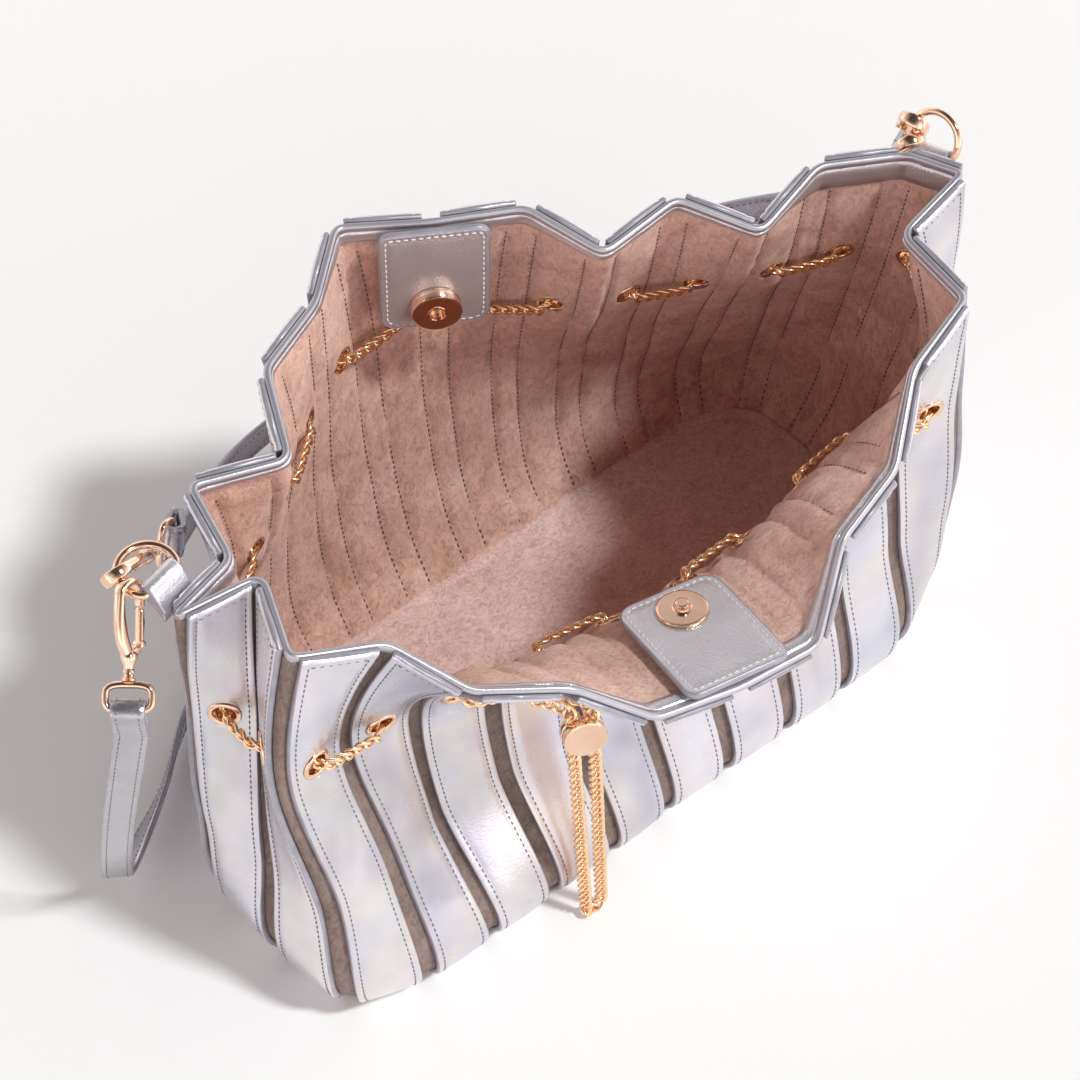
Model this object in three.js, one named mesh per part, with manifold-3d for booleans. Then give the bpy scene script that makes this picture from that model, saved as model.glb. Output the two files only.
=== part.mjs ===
// Slatted drawstring handbag, standing open on its base.
// A soft suede body hangs in a ring of upright folds. Each flat between two folds
// carries a stitched leather slat with an eyelet hole, and a chain threads the
// eyelets in turn, outside across the inward folds and inside across the outward ones.
// Millimetres, +Z up. Origin: centre of the base, on the floor. +X runs from the left
// end to the right end, +Y from the front to the back.
import * as THREE from 'three';
import { mergeVertices } from 'three/addons/utils/BufferGeometryUtils.js';
import Module from 'manifold-3d';

const wasm = await Module();
wasm.setup();

// ---------------------------------------------------------------- driving sizes
const GAP_SHARE = 0.2;        // share of each pitch left bare between two slats
const WALL_T = 1.6;           // suede body, outside and lining together
const SLAT_T = 2.0;           // folded leather slat
const SKIN_GAP = 0.55;        // air between the body and what lies on it
const FOOT_Z = 9.7;           // height at which a fold turns up from the base
const FOOT_INSET = 7.5;       // how far the body runs in under the base edge
const BASE_T = 2.4;           // stiff base board
const BASE_CLEAR = 1.8;       // base board to body edge
const SLAT_START = 0.62;      // fold station where a slat begins
const SLAT_END = 3.94;        // fold station where a slat ends, just under the rim
const BINDING_R = 1.7;        // rolled rim binding
const FACING_FROM = 3.8;      // fold stations of the leather facing inside the rim
const FACING_TO = SLAT_END;
const FACING_T = 0.9;
const EYELET_HOLE_R = 4.7;
const CHAIN_R = 2.1;
const CHAIN_LIFT = 5.6;       // chain centre to slat centre line on either side
const CHAIN_LEAN = 2.0;
const TAB = { width: 39, length: 45, thick: 2.6, corner: 9, lift: 4.2, snap_at: 32 };
const SNAP = { r: 9, disc: 1.4, stud_r: 2.6, stud: 2.4, socket: 4.6, socket_r: 2.9, rim_r: 6.2 };
const STOPPER = { r: 7.8, thick: 7.4, hole_r: 2.75, spread: 3.7 };
const RING = { arc_r: 9.8, chord: 6.0, wire_r: 1.35 };
const RING_TAB = { width: 10.5, roll_r: 3.4, bore_r: 1.8, tongue: 12, thick: 1.8, gap: 0.9 };
const HOOK = { eye_r: 4.6, wire_r: 1.5, tip: 3.2, spine: 15.5, foot: 18.6, barrel_r: 2.7, barrel_end: 26.5, play: 0.8 };
const GATE = { top: 3.7, bottom: 16.3, pivot: 15.4, r: 1.05, pin_r: 1.3, pin: 3.6 };
const EYE = { half_w: 7.4, half_h: 4.2, wire_r: 1.2 };
const STRAP = { width: 11, thick: 2.0, loop_r: 3.0, lap: 13, lap_gap: 1.25 };

// ---------------------------------------------------------------- fold table
// One row for each of the 28 folds, from the front centre round by the left end, the
// back and the right end. Even rows fold inwards at the rim and odd rows outwards.
const FOLD_COLUMNS = ['base_x', 'base_y', 'belly_x', 'belly_y', 'belly_z',
  'waist_x', 'waist_y', 'waist_z', 'rim_x', 'rim_y', 'rim_z'];
const FOLDS = [
  [-8, -67, -8.5, -49.5, 73.5, -10, -53.5, 139, -16.5, -105.5, 163.5],
  [-34.5, -68, -37, -49.5, 73, -38.5, -49, 138.5, -47, -99, 167],
  [-62, -68, -64.5, -43, 71.5, -67.5, -42.5, 138, -68, -80.5, 182.5],
  [-89.5, -67.5, -94, -39.5, 70.5, -94.5, -32.5, 137, -95, -64, 186.5],
  [-117.5, -67, -120, -50.5, 74.5, -122.5, -29, 139, -109, -38.5, 195.5],
  [-144, -58.5, -147, -53, 77.5, -150.5, -34, 144, -138.5, -27.5, 202],
  [-150, -30, -149.5, -24, 77, -137, -9, 142.5, -127, 3, 200.5],
  [-151, -1.5, -159.5, 3.5, 76, -156.5, 10.5, 142.5, -160, 7, 201.5],
  [-139.5, 24, -140.5, 25, 76, -128.5, 18, 141.5, -131, 14.5, 200.5],
  [-128, 49.5, -126.5, 50, 76.5, -117.5, 44.5, 142, -125, 46, 200],
  [-103, 61, -101.5, 63.5, 76.5, -90, 50, 141, -93, 36, 198],
  [-76, 69, -76, 76.5, 76.5, -71, 70, 144, -80, 66.5, 203],
  [-48, 69, -49, 84, 75.5, -47, 85.5, 142.5, -50.5, 79.5, 201],
  [-20, 69, -21, 88.5, 75, -21, 97, 142.5, -26, 101, 201.5],
  [8, 69.5, 7, 87, 75.5, 6.5, 89, 143, 2, 83, 201.5],
  [36, 69.5, 34.5, 82.5, 75.5, 32.5, 76.5, 142.5, 31.5, 68.5, 201],
  [64, 70, 61.5, 76, 76, 53.5, 56.5, 139.5, 43.5, 40.5, 195.5],
  [91.5, 70, 89.5, 69.5, 76.5, 81, 51.5, 140.5, 76, 41.5, 199],
  [120, 69.5, 116, 59, 76, 103, 35, 138, 93.5, 16, 193.5],
  [145, 57, 141.5, 47, 76, 129.5, 28.5, 140, 124.5, 22.5, 199],
  [150.5, 29.5, 157.5, 24, 75.5, 154, 14.5, 140.5, 153, 7.5, 198.5],
  [149, 1, 159, -5, 76.5, 163.5, -12, 144, 159, -14.5, 205],
  [139, -25.5, 147, -31.5, 76.5, 139.5, -27, 143, 127, -20, 201],
  [128, -51.5, 135, -58.5, 76.5, 131.5, -54, 144, 125, -53.5, 202.5],
  [105, -67.5, 106, -57, 76, 104, -48, 143, 93.5, -62.5, 199],
  [76.5, -68, 77.5, -57, 75.5, 75, -47.5, 141, 68.5, -83, 186],
  [48.5, -68, 48.5, -58, 75, 47, -52.5, 140.5, 38, -91.5, 183],
  [20.5, -67.5, 20.5, -52.5, 74, 19, -56, 139, 14.5, -108.5, 162],
];
const N = FOLDS.length;
const WALL_STATIONS = [0, 0.45, 1, 1.6, 2.3, 3, 3.4, 3.8, SLAT_END, 4];
const SLAT_STATIONS = [SLAT_START, 1, 1.6, 2.3, 3, 3.4, 3.8, SLAT_END];

// Magnet tabs: the fold each hangs from, and its lean away from the body in degrees.
const TAB_COLUMNS = ['name', 'fold', 'lean_deg', 'male'];
const TABS = [
  ['magnet_tab_front', 0, 2, 1],
  ['magnet_tab_back', 14, 12, 0],
];
// Ring tabs: slat, place along it from 0 to 1, ring bar out from the body and above the rim,
// and how far the ring is tipped up from level.
const RING_COLUMNS = ['name', 'slat', 'along', 'out', 'up', 'tip_deg'];
const RINGS = [
  ['left', 7, 0.31, 10.7, 3.0, 0],
  ['right', 20, 0.2, 7.6, -5.0, 62],
];
// Snap hooks: ring, angle round it from the outward direction, the way the hook points,
// the way the bar of its strap eye lies, and its turn on the ring about its own length.
const HOOK_COLUMNS = ['name', 'ring', 'angle_deg', 'dx', 'dy', 'dz', 'bx', 'by', 'bz', 'turn_deg'];
const HOOKS = [
  ['hook_left_front', 0, 98, -0.52, -0.65, -0.55, 0.78, -0.62, 0.0, 200],
  ['hook_left_back', 0, 50, 0.75, 0.33, -0.57, 0.25, 0.3, 1.0, 0],
  ['hook_right_front', 1, 114, -0.1, 0.42, -0.9, 0.1, 0.3, 1.0, 0],
  ['hook_right_back', 1, 70, 0.4, 0.35, -0.85, 0.75, 0.3, 0.1, 0],
];
// Straps: way points between the two hooks, with the way the flat's width lies there.
const STRAP_COLUMNS = ['x', 'y', 'z', 'wx', 'wy', 'wz'];
const STRAP_LONG = [
  [-188, 0, 140, 0.78, -0.62, 0],
  [-190, 8, 95, 0.78, -0.62, 0],
  [-189, 18, 50, 0.78, -0.62, 0.05],
  [-184, 28, 20, 0.75, -0.6, 0.25],
  [-170, 39, 8.5, 0.5, -0.5, 0.7],
  [-150, 52, 7.5, 0.2, -0.3, 0.95],
  [-126, 72, 7, 0, 0, 1],
  [-92, 91, 6.8, 0, 0, 1],
  [-40, 100, 6.6, 0, 0, 1],
  [20, 100, 6.6, 0, 0, 1],
  [80, 98, 6.8, 0, 0, 1],
  [126, 92, 8, -0.1, 0.05, 0.97],
  [154, 80, 22, -0.4, 0.25, 0.65],
  [172, 62, 62, -0.75, 0.55, 0.1],
  [176, 46, 118, -0.78, 0.5, 0],
];
const STRAP_SHORT = [
  [-129, 56, 146, 0.2, 0.15, 1],
  [-112, 80, 116, 0.1, 0.2, 1],
  [-70, 106, 96, 0.05, 0.15, 1],
  [-20, 115, 88, 0, 0.1, 1],
  [30, 110, 88, 0, 0.15, 1],
  [80, 94, 98, -0.05, 0.2, 1],
  [118, 72, 122, -0.1, 0.25, 1],
];
// Chain tails: foot of each strand under the stopper.
const STOPPER_AT = { x: -51, y: -70, z: 119 };
const STOPPER_FACE = { x: -0.38, y: -0.885, z: 0.27 };
const TAIL_COLUMNS = ['x', 'y', 'z'];
// Left half of the chain on its way from its last eyelet to the stopper, close under the rim.
const UNDER_RIM = [[-68, -52.5, 140.5], [-61, -58, 135]];
const TAILS = [
  [-54.5, -82, 4.6],
  [-47.5, -82, 7.0],
];

// ---------------------------------------------------------------- materials
const finish = (name, color, roughness, metalness) => {
  const m = new THREE.MeshStandardMaterial({ color, roughness, metalness });
  m.name = name;
  return m;
};
const SILVER = () => finish('silver_leather', 0xc9c9d2, 0.38, 0.55);
const SUEDE = () => finish('taupe_suede', 0x86766a, 0.95, 0.0);
const BLUSH = () => finish('blush_suede', 0xb98a7c, 0.95, 0.0);
const GOLD = () => finish('rose_gold', 0xd9a074, 0.22, 1.0);

// ---------------------------------------------------------------- helpers
const V = (x, y, z) => new THREE.Vector3(x, y, z);
const lerp = (a, b, k) => a.clone().lerp(b, k);
const wrap = (i) => ((i % N) + N) % N;
const along = (p, d, k) => p.clone().addScaledVector(d, k);
const across = (a, axis) => along(a, axis, -a.dot(axis) / axis.lengthSq());

// A mesh from points and triangles, with its faces turned outwards.
function solid(points, triangles) {
  let volume = 0;
  for (const [a, b, c] of triangles) {
    volume += points[a].dot(points[b].clone().cross(points[c])) / 6;
  }
  const index = [];
  for (const [a, b, c] of triangles) index.push(a, volume < 0 ? c : b, volume < 0 ? b : c);
  const g = new THREE.BufferGeometry();
  g.setAttribute('position', new THREE.Float32BufferAttribute(points.flatMap((p) => p.toArray()), 3));
  g.setIndex(index);
  return g;
}

// Rows of points joined into a closed skin. Rings close on themselves, rows do not.
// The bands named in cross are split the other way, so that the two faces of a twisted
// sheet bend together and its thickness holds.
function skin(rows, { ringRows, ringCols, cross = [] }) {
  const nr = rows.length;
  const nc = rows[0].length;
  const points = rows.flat();
  const at = (i, j) => (i % nr) * nc + (j % nc);
  const triangles = [];
  for (let i = 0; i < (ringRows ? nr : nr - 1); i++) {
    for (let j = 0; j < (ringCols ? nc : nc - 1); j++) {
      if (cross.includes(j)) {
        triangles.push([at(i, j), at(i + 1, j), at(i, j + 1)]);
        triangles.push([at(i + 1, j), at(i + 1, j + 1), at(i, j + 1)]);
      } else {
        triangles.push([at(i, j), at(i + 1, j), at(i + 1, j + 1)]);
        triangles.push([at(i, j), at(i + 1, j + 1), at(i, j + 1)]);
      }
    }
  }
  if (!ringRows) {
    for (let j = 1; j < nc - 1; j++) {
      triangles.push([at(0, 0), at(0, j), at(0, j + 1)]);
      triangles.push([at(nr - 1, 0), at(nr - 1, j + 1), at(nr - 1, j)]);
    }
  }
  return solid(points, triangles);
}

function toManifold(geometry) {
  const g = geometry.clone();
  for (const key of Object.keys(g.attributes)) if (key !== 'position') g.deleteAttribute(key);
  const m = mergeVertices(g, 1e-4);
  return new wasm.Manifold(new wasm.Mesh({
    numProp: 3,
    vertProperties: new Float32Array(m.attributes.position.array),
    triVerts: new Uint32Array(m.index.array),
  }));
}

function fromManifold(m) {
  const mesh = m.getMesh();
  const g = new THREE.BufferGeometry();
  g.setAttribute('position', new THREE.Float32BufferAttribute(mesh.vertProperties, 3));
  g.setIndex(Array.from(mesh.triVerts));
  return g;
}

// A straight round plug from one point to another.
function rod(from, to, r, sides) {
  const g = new THREE.CylinderGeometry(r, r, from.distanceTo(to), sides);
  const q = new THREE.Quaternion().setFromUnitVectors(V(0, 1, 0), to.clone().sub(from).normalize());
  g.applyQuaternion(q);
  const mid = lerp(from, to, 0.5);
  g.translate(mid.x, mid.y, mid.z);
  return g;
}

// A path that stops at each of its points, for tubes that keep their corners.
class Route extends THREE.Curve {
  constructor(points) { super(); this.points = points; }
  getPoint(t, target = new THREE.Vector3()) {
    const k = Math.min(Math.max(t, 0), 1) * (this.points.length - 1);
    const i = Math.min(Math.floor(k), this.points.length - 2);
    return target.copy(this.points[i]).lerp(this.points[i + 1], k - i);
  }
  getUtoTmapping(u) { return u; }
}

function tube(points, r, sides) {
  const section = new THREE.Shape();
  for (let i = 0; i < sides; i++) {
    const a = (i / sides) * Math.PI * 2;
    if (i === 0) section.moveTo(r * Math.cos(a), r * Math.sin(a));
    else section.lineTo(r * Math.cos(a), r * Math.sin(a));
  }
  section.closePath();
  const g = new THREE.ExtrudeGeometry(section, {
    steps: points.length - 1, bevelEnabled: false, extrudePath: new Route(points),
  });
  for (const key of ['normal', 'uv']) g.deleteAttribute(key);
  return mergeVertices(g, 1e-4);
}

// A closed wire ring through points in one plane.
function wireRing(points, axis, r, sides) {
  const rows = points.map((p, i) => {
    const before = points[(i + points.length - 1) % points.length];
    const after = points[(i + 1) % points.length];
    const out = after.clone().sub(before).normalize().cross(axis).normalize();
    return Array.from({ length: sides }, (_, k) => {
      const a = (k / sides) * Math.PI * 2;
      return along(along(p, out, r * Math.cos(a)), axis, r * Math.sin(a));
    });
  });
  return skin(rows, { ringRows: true, ringCols: true });
}

// A flat strip along points, with the way its width lies at each of them.
function ribbon(points, widths, width, thick) {
  const rows = points.map((p, i) => {
    const t = points[Math.min(i + 1, points.length - 1)].clone()
      .sub(points[Math.max(i - 1, 0)]).normalize();
    const w = across(widths[i], t).normalize();
    const n = t.clone().cross(w).normalize();
    return [[-1, -1], [1, -1], [1, 1], [-1, 1]].map(([a, b]) =>
      along(along(p, w, (a * width) / 2), n, (b * thick) / 2));
  });
  return skin(rows, { ringRows: false, ringCols: true });
}

const part = new THREE.Group();
function add(name, geometry, material) {
  const mesh = new THREE.Mesh(geometry, material);
  mesh.name = name;
  part.add(mesh);
  return mesh;
}

// ---------------------------------------------------------------- folds
const col = Object.fromEntries(FOLD_COLUMNS.map((name, i) => [name, i]));
const cell = (b, name) => FOLDS[wrap(b)][col[name]];
const baseAt = (b) => V(cell(b, 'base_x'), cell(b, 'base_y'), 0);
function baseOut(b) {
  const t = baseAt(b + 1).sub(baseAt(b - 1)).normalize();
  return V(-t.y, t.x, 0);
}
function foldNodes(b) {
  const base = baseAt(b);
  const out = baseOut(b);
  return [
    along(base, out, -FOOT_INSET).setZ(WALL_T / 2),
    base.clone().setZ(FOOT_Z),
    V(cell(b, 'belly_x'), cell(b, 'belly_y'), cell(b, 'belly_z')),
    V(cell(b, 'waist_x'), cell(b, 'waist_y'), cell(b, 'waist_z')),
    V(cell(b, 'rim_x'), cell(b, 'rim_y'), cell(b, 'rim_z')),
  ];
}
// Each fold line is a smooth curve through its five nodes, at stations 0 to 4.
const foldCurves = FOLDS.map((_, b) => {
  const p = foldNodes(b);
  const d = [0, 1, 2, 3].map((i) => p[i].distanceTo(p[i + 1]));
  const s = [0, 1, 2, 3].map((i) => p[i + 1].clone().sub(p[i]).divideScalar(d[i]));
  const m = [baseOut(b)];
  for (let i = 1; i < 4; i++) {
    m.push(s[i - 1].clone().multiplyScalar(d[i]).addScaledVector(s[i], d[i - 1]).divideScalar(d[i] + d[i - 1]));
  }
  m.push(s[3].clone().multiplyScalar(1.5).addScaledVector(m[3], -0.5));
  return { p, d, m };
});
function foldAt(b, t) {
  const { p, d, m } = foldCurves[wrap(b)];
  const i = Math.min(Math.floor(t), 3);
  const k = t - i;
  const h = [2 * k ** 3 - 3 * k ** 2 + 1, k ** 3 - 2 * k ** 2 + k, -2 * k ** 3 + 3 * k ** 2, k ** 3 - k ** 2];
  return V(0, 0, 0).addScaledVector(p[i], h[0]).addScaledVector(m[i], h[1] * d[i])
    .addScaledVector(p[i + 1], h[2]).addScaledVector(m[i + 1], h[3] * d[i]);
}
const onSlat = (s, k, t) => lerp(foldAt(s, t), foldAt(s + 1, t), k);
// Frame of a slat's middle surface: point, outward normal, way along the rim, way up.
function slatFrame(s, k, t) {
  const e = 0.02;
  const lo = Math.max(t - e, 0);
  const hi = Math.min(t + e, 4);
  const up = onSlat(s, k, hi).sub(onSlat(s, k, lo)).normalize();
  const edge = foldAt(s + 1, t).sub(foldAt(s, t)).normalize();
  const out = up.clone().cross(edge).normalize();
  return { point: onSlat(s, k, t), out, edge, up: edge.clone().cross(out).normalize() };
}
// Share of a slat's pitch left bare beside a fold: wider where a tight fold would bring
// two faces together, the slats outside an inward fold or the lining inside an outward one.
const SLAT_TOP = WALL_T / 2 + SKIN_GAP + SLAT_T + SKIN_GAP / 2;
const LINING = WALL_T / 2 + SKIN_GAP / 2;
const FACING_TOP = WALL_T / 2 + SKIN_GAP + FACING_T + SKIN_GAP / 2;
function bareShare(s, b, t, inside = LINING) {
  const here = foldAt(b, t);
  const back = foldAt(b - 1, t).sub(here);
  const on = foldAt(b + 1, t).sub(here);
  const half = back.angleTo(on) / 2;
  const inward = slatFrame(b, 0, t).out.add(slatFrame(b - 1, 1, t).out).dot(back.clone().normalize().add(on.clone().normalize())) > 0;
  const need = (inward ? SLAT_TOP : inside) / Math.tan(half);
  const pitch = wrap(s) === wrap(b) ? on.length() : back.length();
  return Math.min(Math.max(GAP_SHARE / 2, need / pitch), 0.45);
}
const nearEdge = (s, t, inside) => bareShare(s, s, t, inside);
const farEdge = (s, t, inside) => 1 - bareShare(s, s + 1, t, inside);
// The two slat edges beside a fold.
const foldColumns = (b, t, inside) => [
  slatFrame(b - 1, farEdge(b - 1, t, inside), t),
  slatFrame(b, nearEdge(b, t, inside), t),
];
const ringRow = (t, lift, inside) => FOLDS.flatMap((_, b) => foldColumns(b, t, inside).map((f) => along(f.point, f.out, lift)));
const turned = (rows) => rows[0].map((_, j) => rows.map((row) => row[j]));

const eyelet = (s) => {
  const f = slatFrame(wrap(s), 0.5, 3);
  return { ...f, centre: along(f.point, f.out, (SKIN_GAP + SLAT_T) / 2) };
};
const eyeletPlug = (s) => {
  const e = eyelet(s);
  return toManifold(rod(along(e.centre, e.out, -6), along(e.centre, e.out, 6), EYELET_HOLE_R, 8));
};

// ---------------------------------------------------------------- body
{
  const rows = [
    ...WALL_STATIONS.map((t) => ringRow(t, WALL_T / 2)),
    ...WALL_STATIONS.slice().reverse().map((t) => ringRow(t, -WALL_T / 2)),
  ];
  const inside = WALL_STATIONS.slice(1).map((_, i) => WALL_STATIONS.length + i);
  let body = toManifold(skin(turned(rows), { ringRows: true, ringCols: true, cross: inside }));
  for (let s = 0; s < N; s++) body = body.subtract(eyeletPlug(s));
  add('body', fromManifold(body), SUEDE());
}
{
  const outline = new THREE.Shape();
  FOLDS.forEach((_, b) => {
    const p = along(baseAt(b), baseOut(b), -FOOT_INSET - BASE_CLEAR);
    if (b === 0) outline.moveTo(p.x, p.y);
    else outline.lineTo(p.x, p.y);
  });
  outline.closePath();
  const g = new THREE.ExtrudeGeometry(outline, { depth: BASE_T, bevelEnabled: false });
  add('base_panel', g, BLUSH());
}
{
  const lift = WALL_T / 2 + SKIN_GAP;
  const rows = [
    ringRow(FACING_TO, -lift, FACING_TOP), ringRow(FACING_FROM, -lift, FACING_TOP),
    ringRow(FACING_FROM, -lift - FACING_T, FACING_TOP), ringRow(FACING_TO, -lift - FACING_T, FACING_TOP),
  ];
  add('rim_facing', skin(turned(rows), { ringRows: true, ringCols: true, cross: [0] }), SILVER());
}
{
  const sides = 6;
  const rows = FOLDS.flatMap((_, b) => foldColumns(b, 4).map((f) => {
    const centre = along(f.point, f.up, BINDING_R + 0.3);
    return Array.from({ length: sides }, (_, k) => {
      const a = (k / sides) * Math.PI * 2;
      return along(along(centre, f.out, BINDING_R * Math.cos(a)), f.up, BINDING_R * Math.sin(a));
    });
  }));
  add('rim_binding', skin(rows, { ringRows: true, ringCols: true }), SILVER());
}

// ---------------------------------------------------------------- slats
for (let s = 0; s < N; s++) {
  const low = WALL_T / 2 + SKIN_GAP;
  const rows = SLAT_STATIONS.map((t) => {
    const a = slatFrame(s, nearEdge(s, t), t);
    const b = slatFrame(s, farEdge(s, t), t);
    return [along(a.point, a.out, low), along(b.point, b.out, low),
      along(b.point, b.out, low + SLAT_T), along(a.point, a.out, low + SLAT_T)];
  });
  const blank = toManifold(skin(rows, { ringRows: false, ringCols: true, cross: [2] }));
  add(`slat_${String(s + 1).padStart(2, '0')}`, fromManifold(blank.subtract(eyeletPlug(s))), SILVER());
}

// ---------------------------------------------------------------- magnet tabs
for (const row of TABS) {
  const [name, fold, lean, male] = row;
  const top = foldAt(fold, 3.97);
  const edge = foldAt(fold - 1, 4).sub(foldAt(fold + 1, 4)).normalize();
  const down = across(foldAt(fold, 3.35).sub(top), edge).normalize();
  const inward = edge.clone().cross(down).normalize();
  const tilt = THREE.MathUtils.degToRad(lean);
  const run = down.clone().multiplyScalar(Math.cos(tilt)).addScaledVector(inward, Math.sin(tilt));
  const face = edge.clone().cross(run).normalize();
  const at = along(top, inward, TAB.lift + TAB.thick / 2);
  const frame = new THREE.Matrix4().makeBasis(edge, run, face).setPosition(at);
  const half = TAB.width / 2;
  const c = TAB.corner;
  const outline = new THREE.Shape();
  outline.moveTo(-half, 0);
  outline.lineTo(half, 0);
  outline.lineTo(half, TAB.length - c);
  outline.absarc(half - c, TAB.length - c, c, 0, Math.PI / 2, false);
  outline.absarc(c - half, TAB.length - c, c, Math.PI / 2, Math.PI, false);
  outline.closePath();
  const plate = new THREE.ExtrudeGeometry(outline, { depth: TAB.thick, bevelEnabled: false, curveSegments: 4 });
  plate.translate(0, 0, -TAB.thick / 2);
  plate.applyMatrix4(frame);
  add(name, plate, SILVER());
  const profile = (male ? [
    [0, 0], [SNAP.r, 0], [SNAP.r, SNAP.disc], [SNAP.stud_r, SNAP.disc],
    [SNAP.stud_r, SNAP.disc + SNAP.stud], [0, SNAP.disc + SNAP.stud],
  ] : [
    [0, 0], [SNAP.r, 0], [SNAP.r, SNAP.disc * 2], [SNAP.rim_r, SNAP.socket],
    [SNAP.socket_r, SNAP.socket], [SNAP.socket_r, SNAP.disc], [0, SNAP.disc],
  ]).map(([x, y]) => new THREE.Vector2(x, y));
  const snap = new THREE.LatheGeometry(profile, 20);
  snap.rotateX(Math.PI / 2);
  snap.translate(0, TAB.snap_at, TAB.thick / 2 + 0.3);
  snap.applyMatrix4(frame);
  add(male ? 'snap_stud' : 'snap_socket', snap, GOLD());
}

// ---------------------------------------------------------------- rings and their tabs
const rings = RINGS.map(([name, slat, k, out, up, tip]) => {
  const f = slatFrame(slat, k, 4);
  const edge = f.edge;
  const level = V(-edge.y, edge.x, 0).normalize();
  const flat = level.dot(f.out) < 0 ? level.negate() : level;
  const rise = across(V(0, 0, 1), edge).normalize();
  const lift = THREE.MathUtils.degToRad(tip);
  const away = across(flat.clone().multiplyScalar(Math.cos(lift)).addScaledVector(rise, Math.sin(lift)), edge).normalize();
  const bar = along(along(f.point, f.out, out), f.up, up);
  const centre = along(bar, away, RING.chord);
  const axis = edge.clone().cross(away).normalize();
  const half = Math.sqrt(RING.arc_r ** 2 - RING.chord ** 2);
  const start = Math.atan2(-RING.chord, half);
  const steps = 15;
  const points = [];
  for (let i = 0; i <= steps; i++) {
    const a = start + (i / steps) * (Math.PI - 2 * start);
    points.push(along(along(centre, edge, RING.arc_r * Math.cos(a)), away, RING.arc_r * Math.sin(a)));
  }
  points.push(along(bar, edge, -half * 0.55), along(bar, edge, half * 0.55));
  add(`ring_${name}`, wireRing(points, axis, RING.wire_r, 8), GOLD());

  // The leather loop: a tongue sewn to the slat, rolled round the ring's straight bar.
  const low = WALL_T / 2 + SKIN_GAP + SLAT_T + RING_TAB.gap;
  const r = RING_TAB.roll_r;
  const shape = new THREE.Shape();
  shape.moveTo(low, -RING_TAB.tongue);
  shape.lineTo(low, Math.min(up - 1, -1));
  const a0 = Math.PI * 0.78;
  const a1 = -Math.PI * 0.42;
  for (let i = 0; i <= 10; i++) {
    const a = a0 + (i / 10) * (a1 - a0);
    shape.lineTo(out + r * Math.cos(a), up + r * Math.sin(a));
  }
  shape.lineTo(low + RING_TAB.thick, Math.min(up - 4.5, -5));
  shape.lineTo(low + RING_TAB.thick, -RING_TAB.tongue);
  shape.closePath();
  const bore = new THREE.Path();
  for (let i = 0; i < 10; i++) {
    const a = (i / 10) * Math.PI * 2;
    const x = out + RING_TAB.bore_r * Math.cos(a);
    const y = up + RING_TAB.bore_r * Math.sin(a);
    if (i === 0) bore.moveTo(x, y);
    else bore.lineTo(x, y);
  }
  bore.closePath();
  shape.holes.push(bore);
  const loop = new THREE.ExtrudeGeometry(shape, { depth: RING_TAB.width, bevelEnabled: false, curveSegments: 6 });
  loop.translate(0, 0, -RING_TAB.width / 2);
  const third = f.out.clone().cross(f.up).normalize();
  loop.applyMatrix4(new THREE.Matrix4().makeBasis(f.out, f.up, third).setPosition(f.point));
  add(`ring_tab_${name}`, loop, SILVER());
  return { centre, edge, away, axis };
});

// ---------------------------------------------------------------- snap hooks
const straps = HOOKS.map(([name, ringNo, angle, dx, dy, dz, bx, by, bz, turn]) => {
  const ring = rings[ringNo];
  const a = THREE.MathUtils.degToRad(90 + angle);
  const radial = ring.edge.clone().multiplyScalar(Math.cos(a)).addScaledVector(ring.away, Math.sin(a));
  const wire = along(ring.centre, radial, RING.arc_r);
  const tangent = radial.clone().cross(ring.axis).normalize();
  const down = V(dx, dy, dz).normalize();
  const side = across(tangent, down).normalize().cross(down).normalize()
    .applyAxisAngle(down, THREE.MathUtils.degToRad(turn));
  const slack = HOOK.eye_r - HOOK.wire_r - RING.wire_r - HOOK.play;
  const eye = along(wire, down, slack);
  const at = (w, d) => along(along(eye, side, w), down, d);
  const R = HOOK.eye_r;
  const path = [at(R, HOOK.tip), at(R, HOOK.tip / 2)];
  for (let i = 0; i <= 6; i++) {
    const q = (i / 6) * Math.PI;
    path.push(at(R * Math.cos(q), -R * Math.sin(q)));
  }
  path.push(at(-R, HOOK.spine / 2), at(-R, HOOK.spine - 1), at(-R * 0.72, HOOK.foot - 0.6), at(0, HOOK.foot), at(R * 0.9, HOOK.foot + 0.2));
  const crook = toManifold(tube(path, HOOK.wire_r, 8));
  const barrel = toManifold(rod(at(0, HOOK.foot - 0.9), at(0, HOOK.barrel_end), HOOK.barrel_r, 10));
  add(`${name}_body`, fromManifold(crook.add(barrel)), GOLD());
  const pin = side.clone().cross(down).normalize();
  const lever = toManifold(rod(at(R, GATE.bottom), at(R, GATE.top), GATE.r, 8));
  const pivot = toManifold(rod(along(at(R, GATE.pivot), pin, -GATE.pin / 2), along(at(R, GATE.pivot), pin, GATE.pin / 2), GATE.pin_r, 16));
  add(`${name}_gate`, fromManifold(lever.add(pivot)), GOLD());

  // Strap eye: an oval wire loop on the swivel barrel.
  const bar = across(V(bx, by, bz), down).normalize();
  const top = HOOK.barrel_end + 0.35 + EYE.wire_r;
  const middle = along(eye, down, top + EYE.half_h);
  const oval = [];
  for (let i = 0; i < 16; i++) {
    const q = (i / 16) * Math.PI * 2;
    const cx = Math.sign(Math.cos(q)) * Math.abs(Math.cos(q)) ** 0.6;
    const cy = Math.sign(Math.sin(q)) * Math.abs(Math.sin(q)) ** 0.6;
    oval.push(along(along(middle, bar, EYE.half_w * cx), down, EYE.half_h * cy));
  }
  add(`${name}_eye`, wireRing(oval, bar.clone().cross(down).normalize(), EYE.wire_r, 6), GOLD());
  return { bar, centre: along(middle, down, EYE.half_h), run: down };
});

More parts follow.
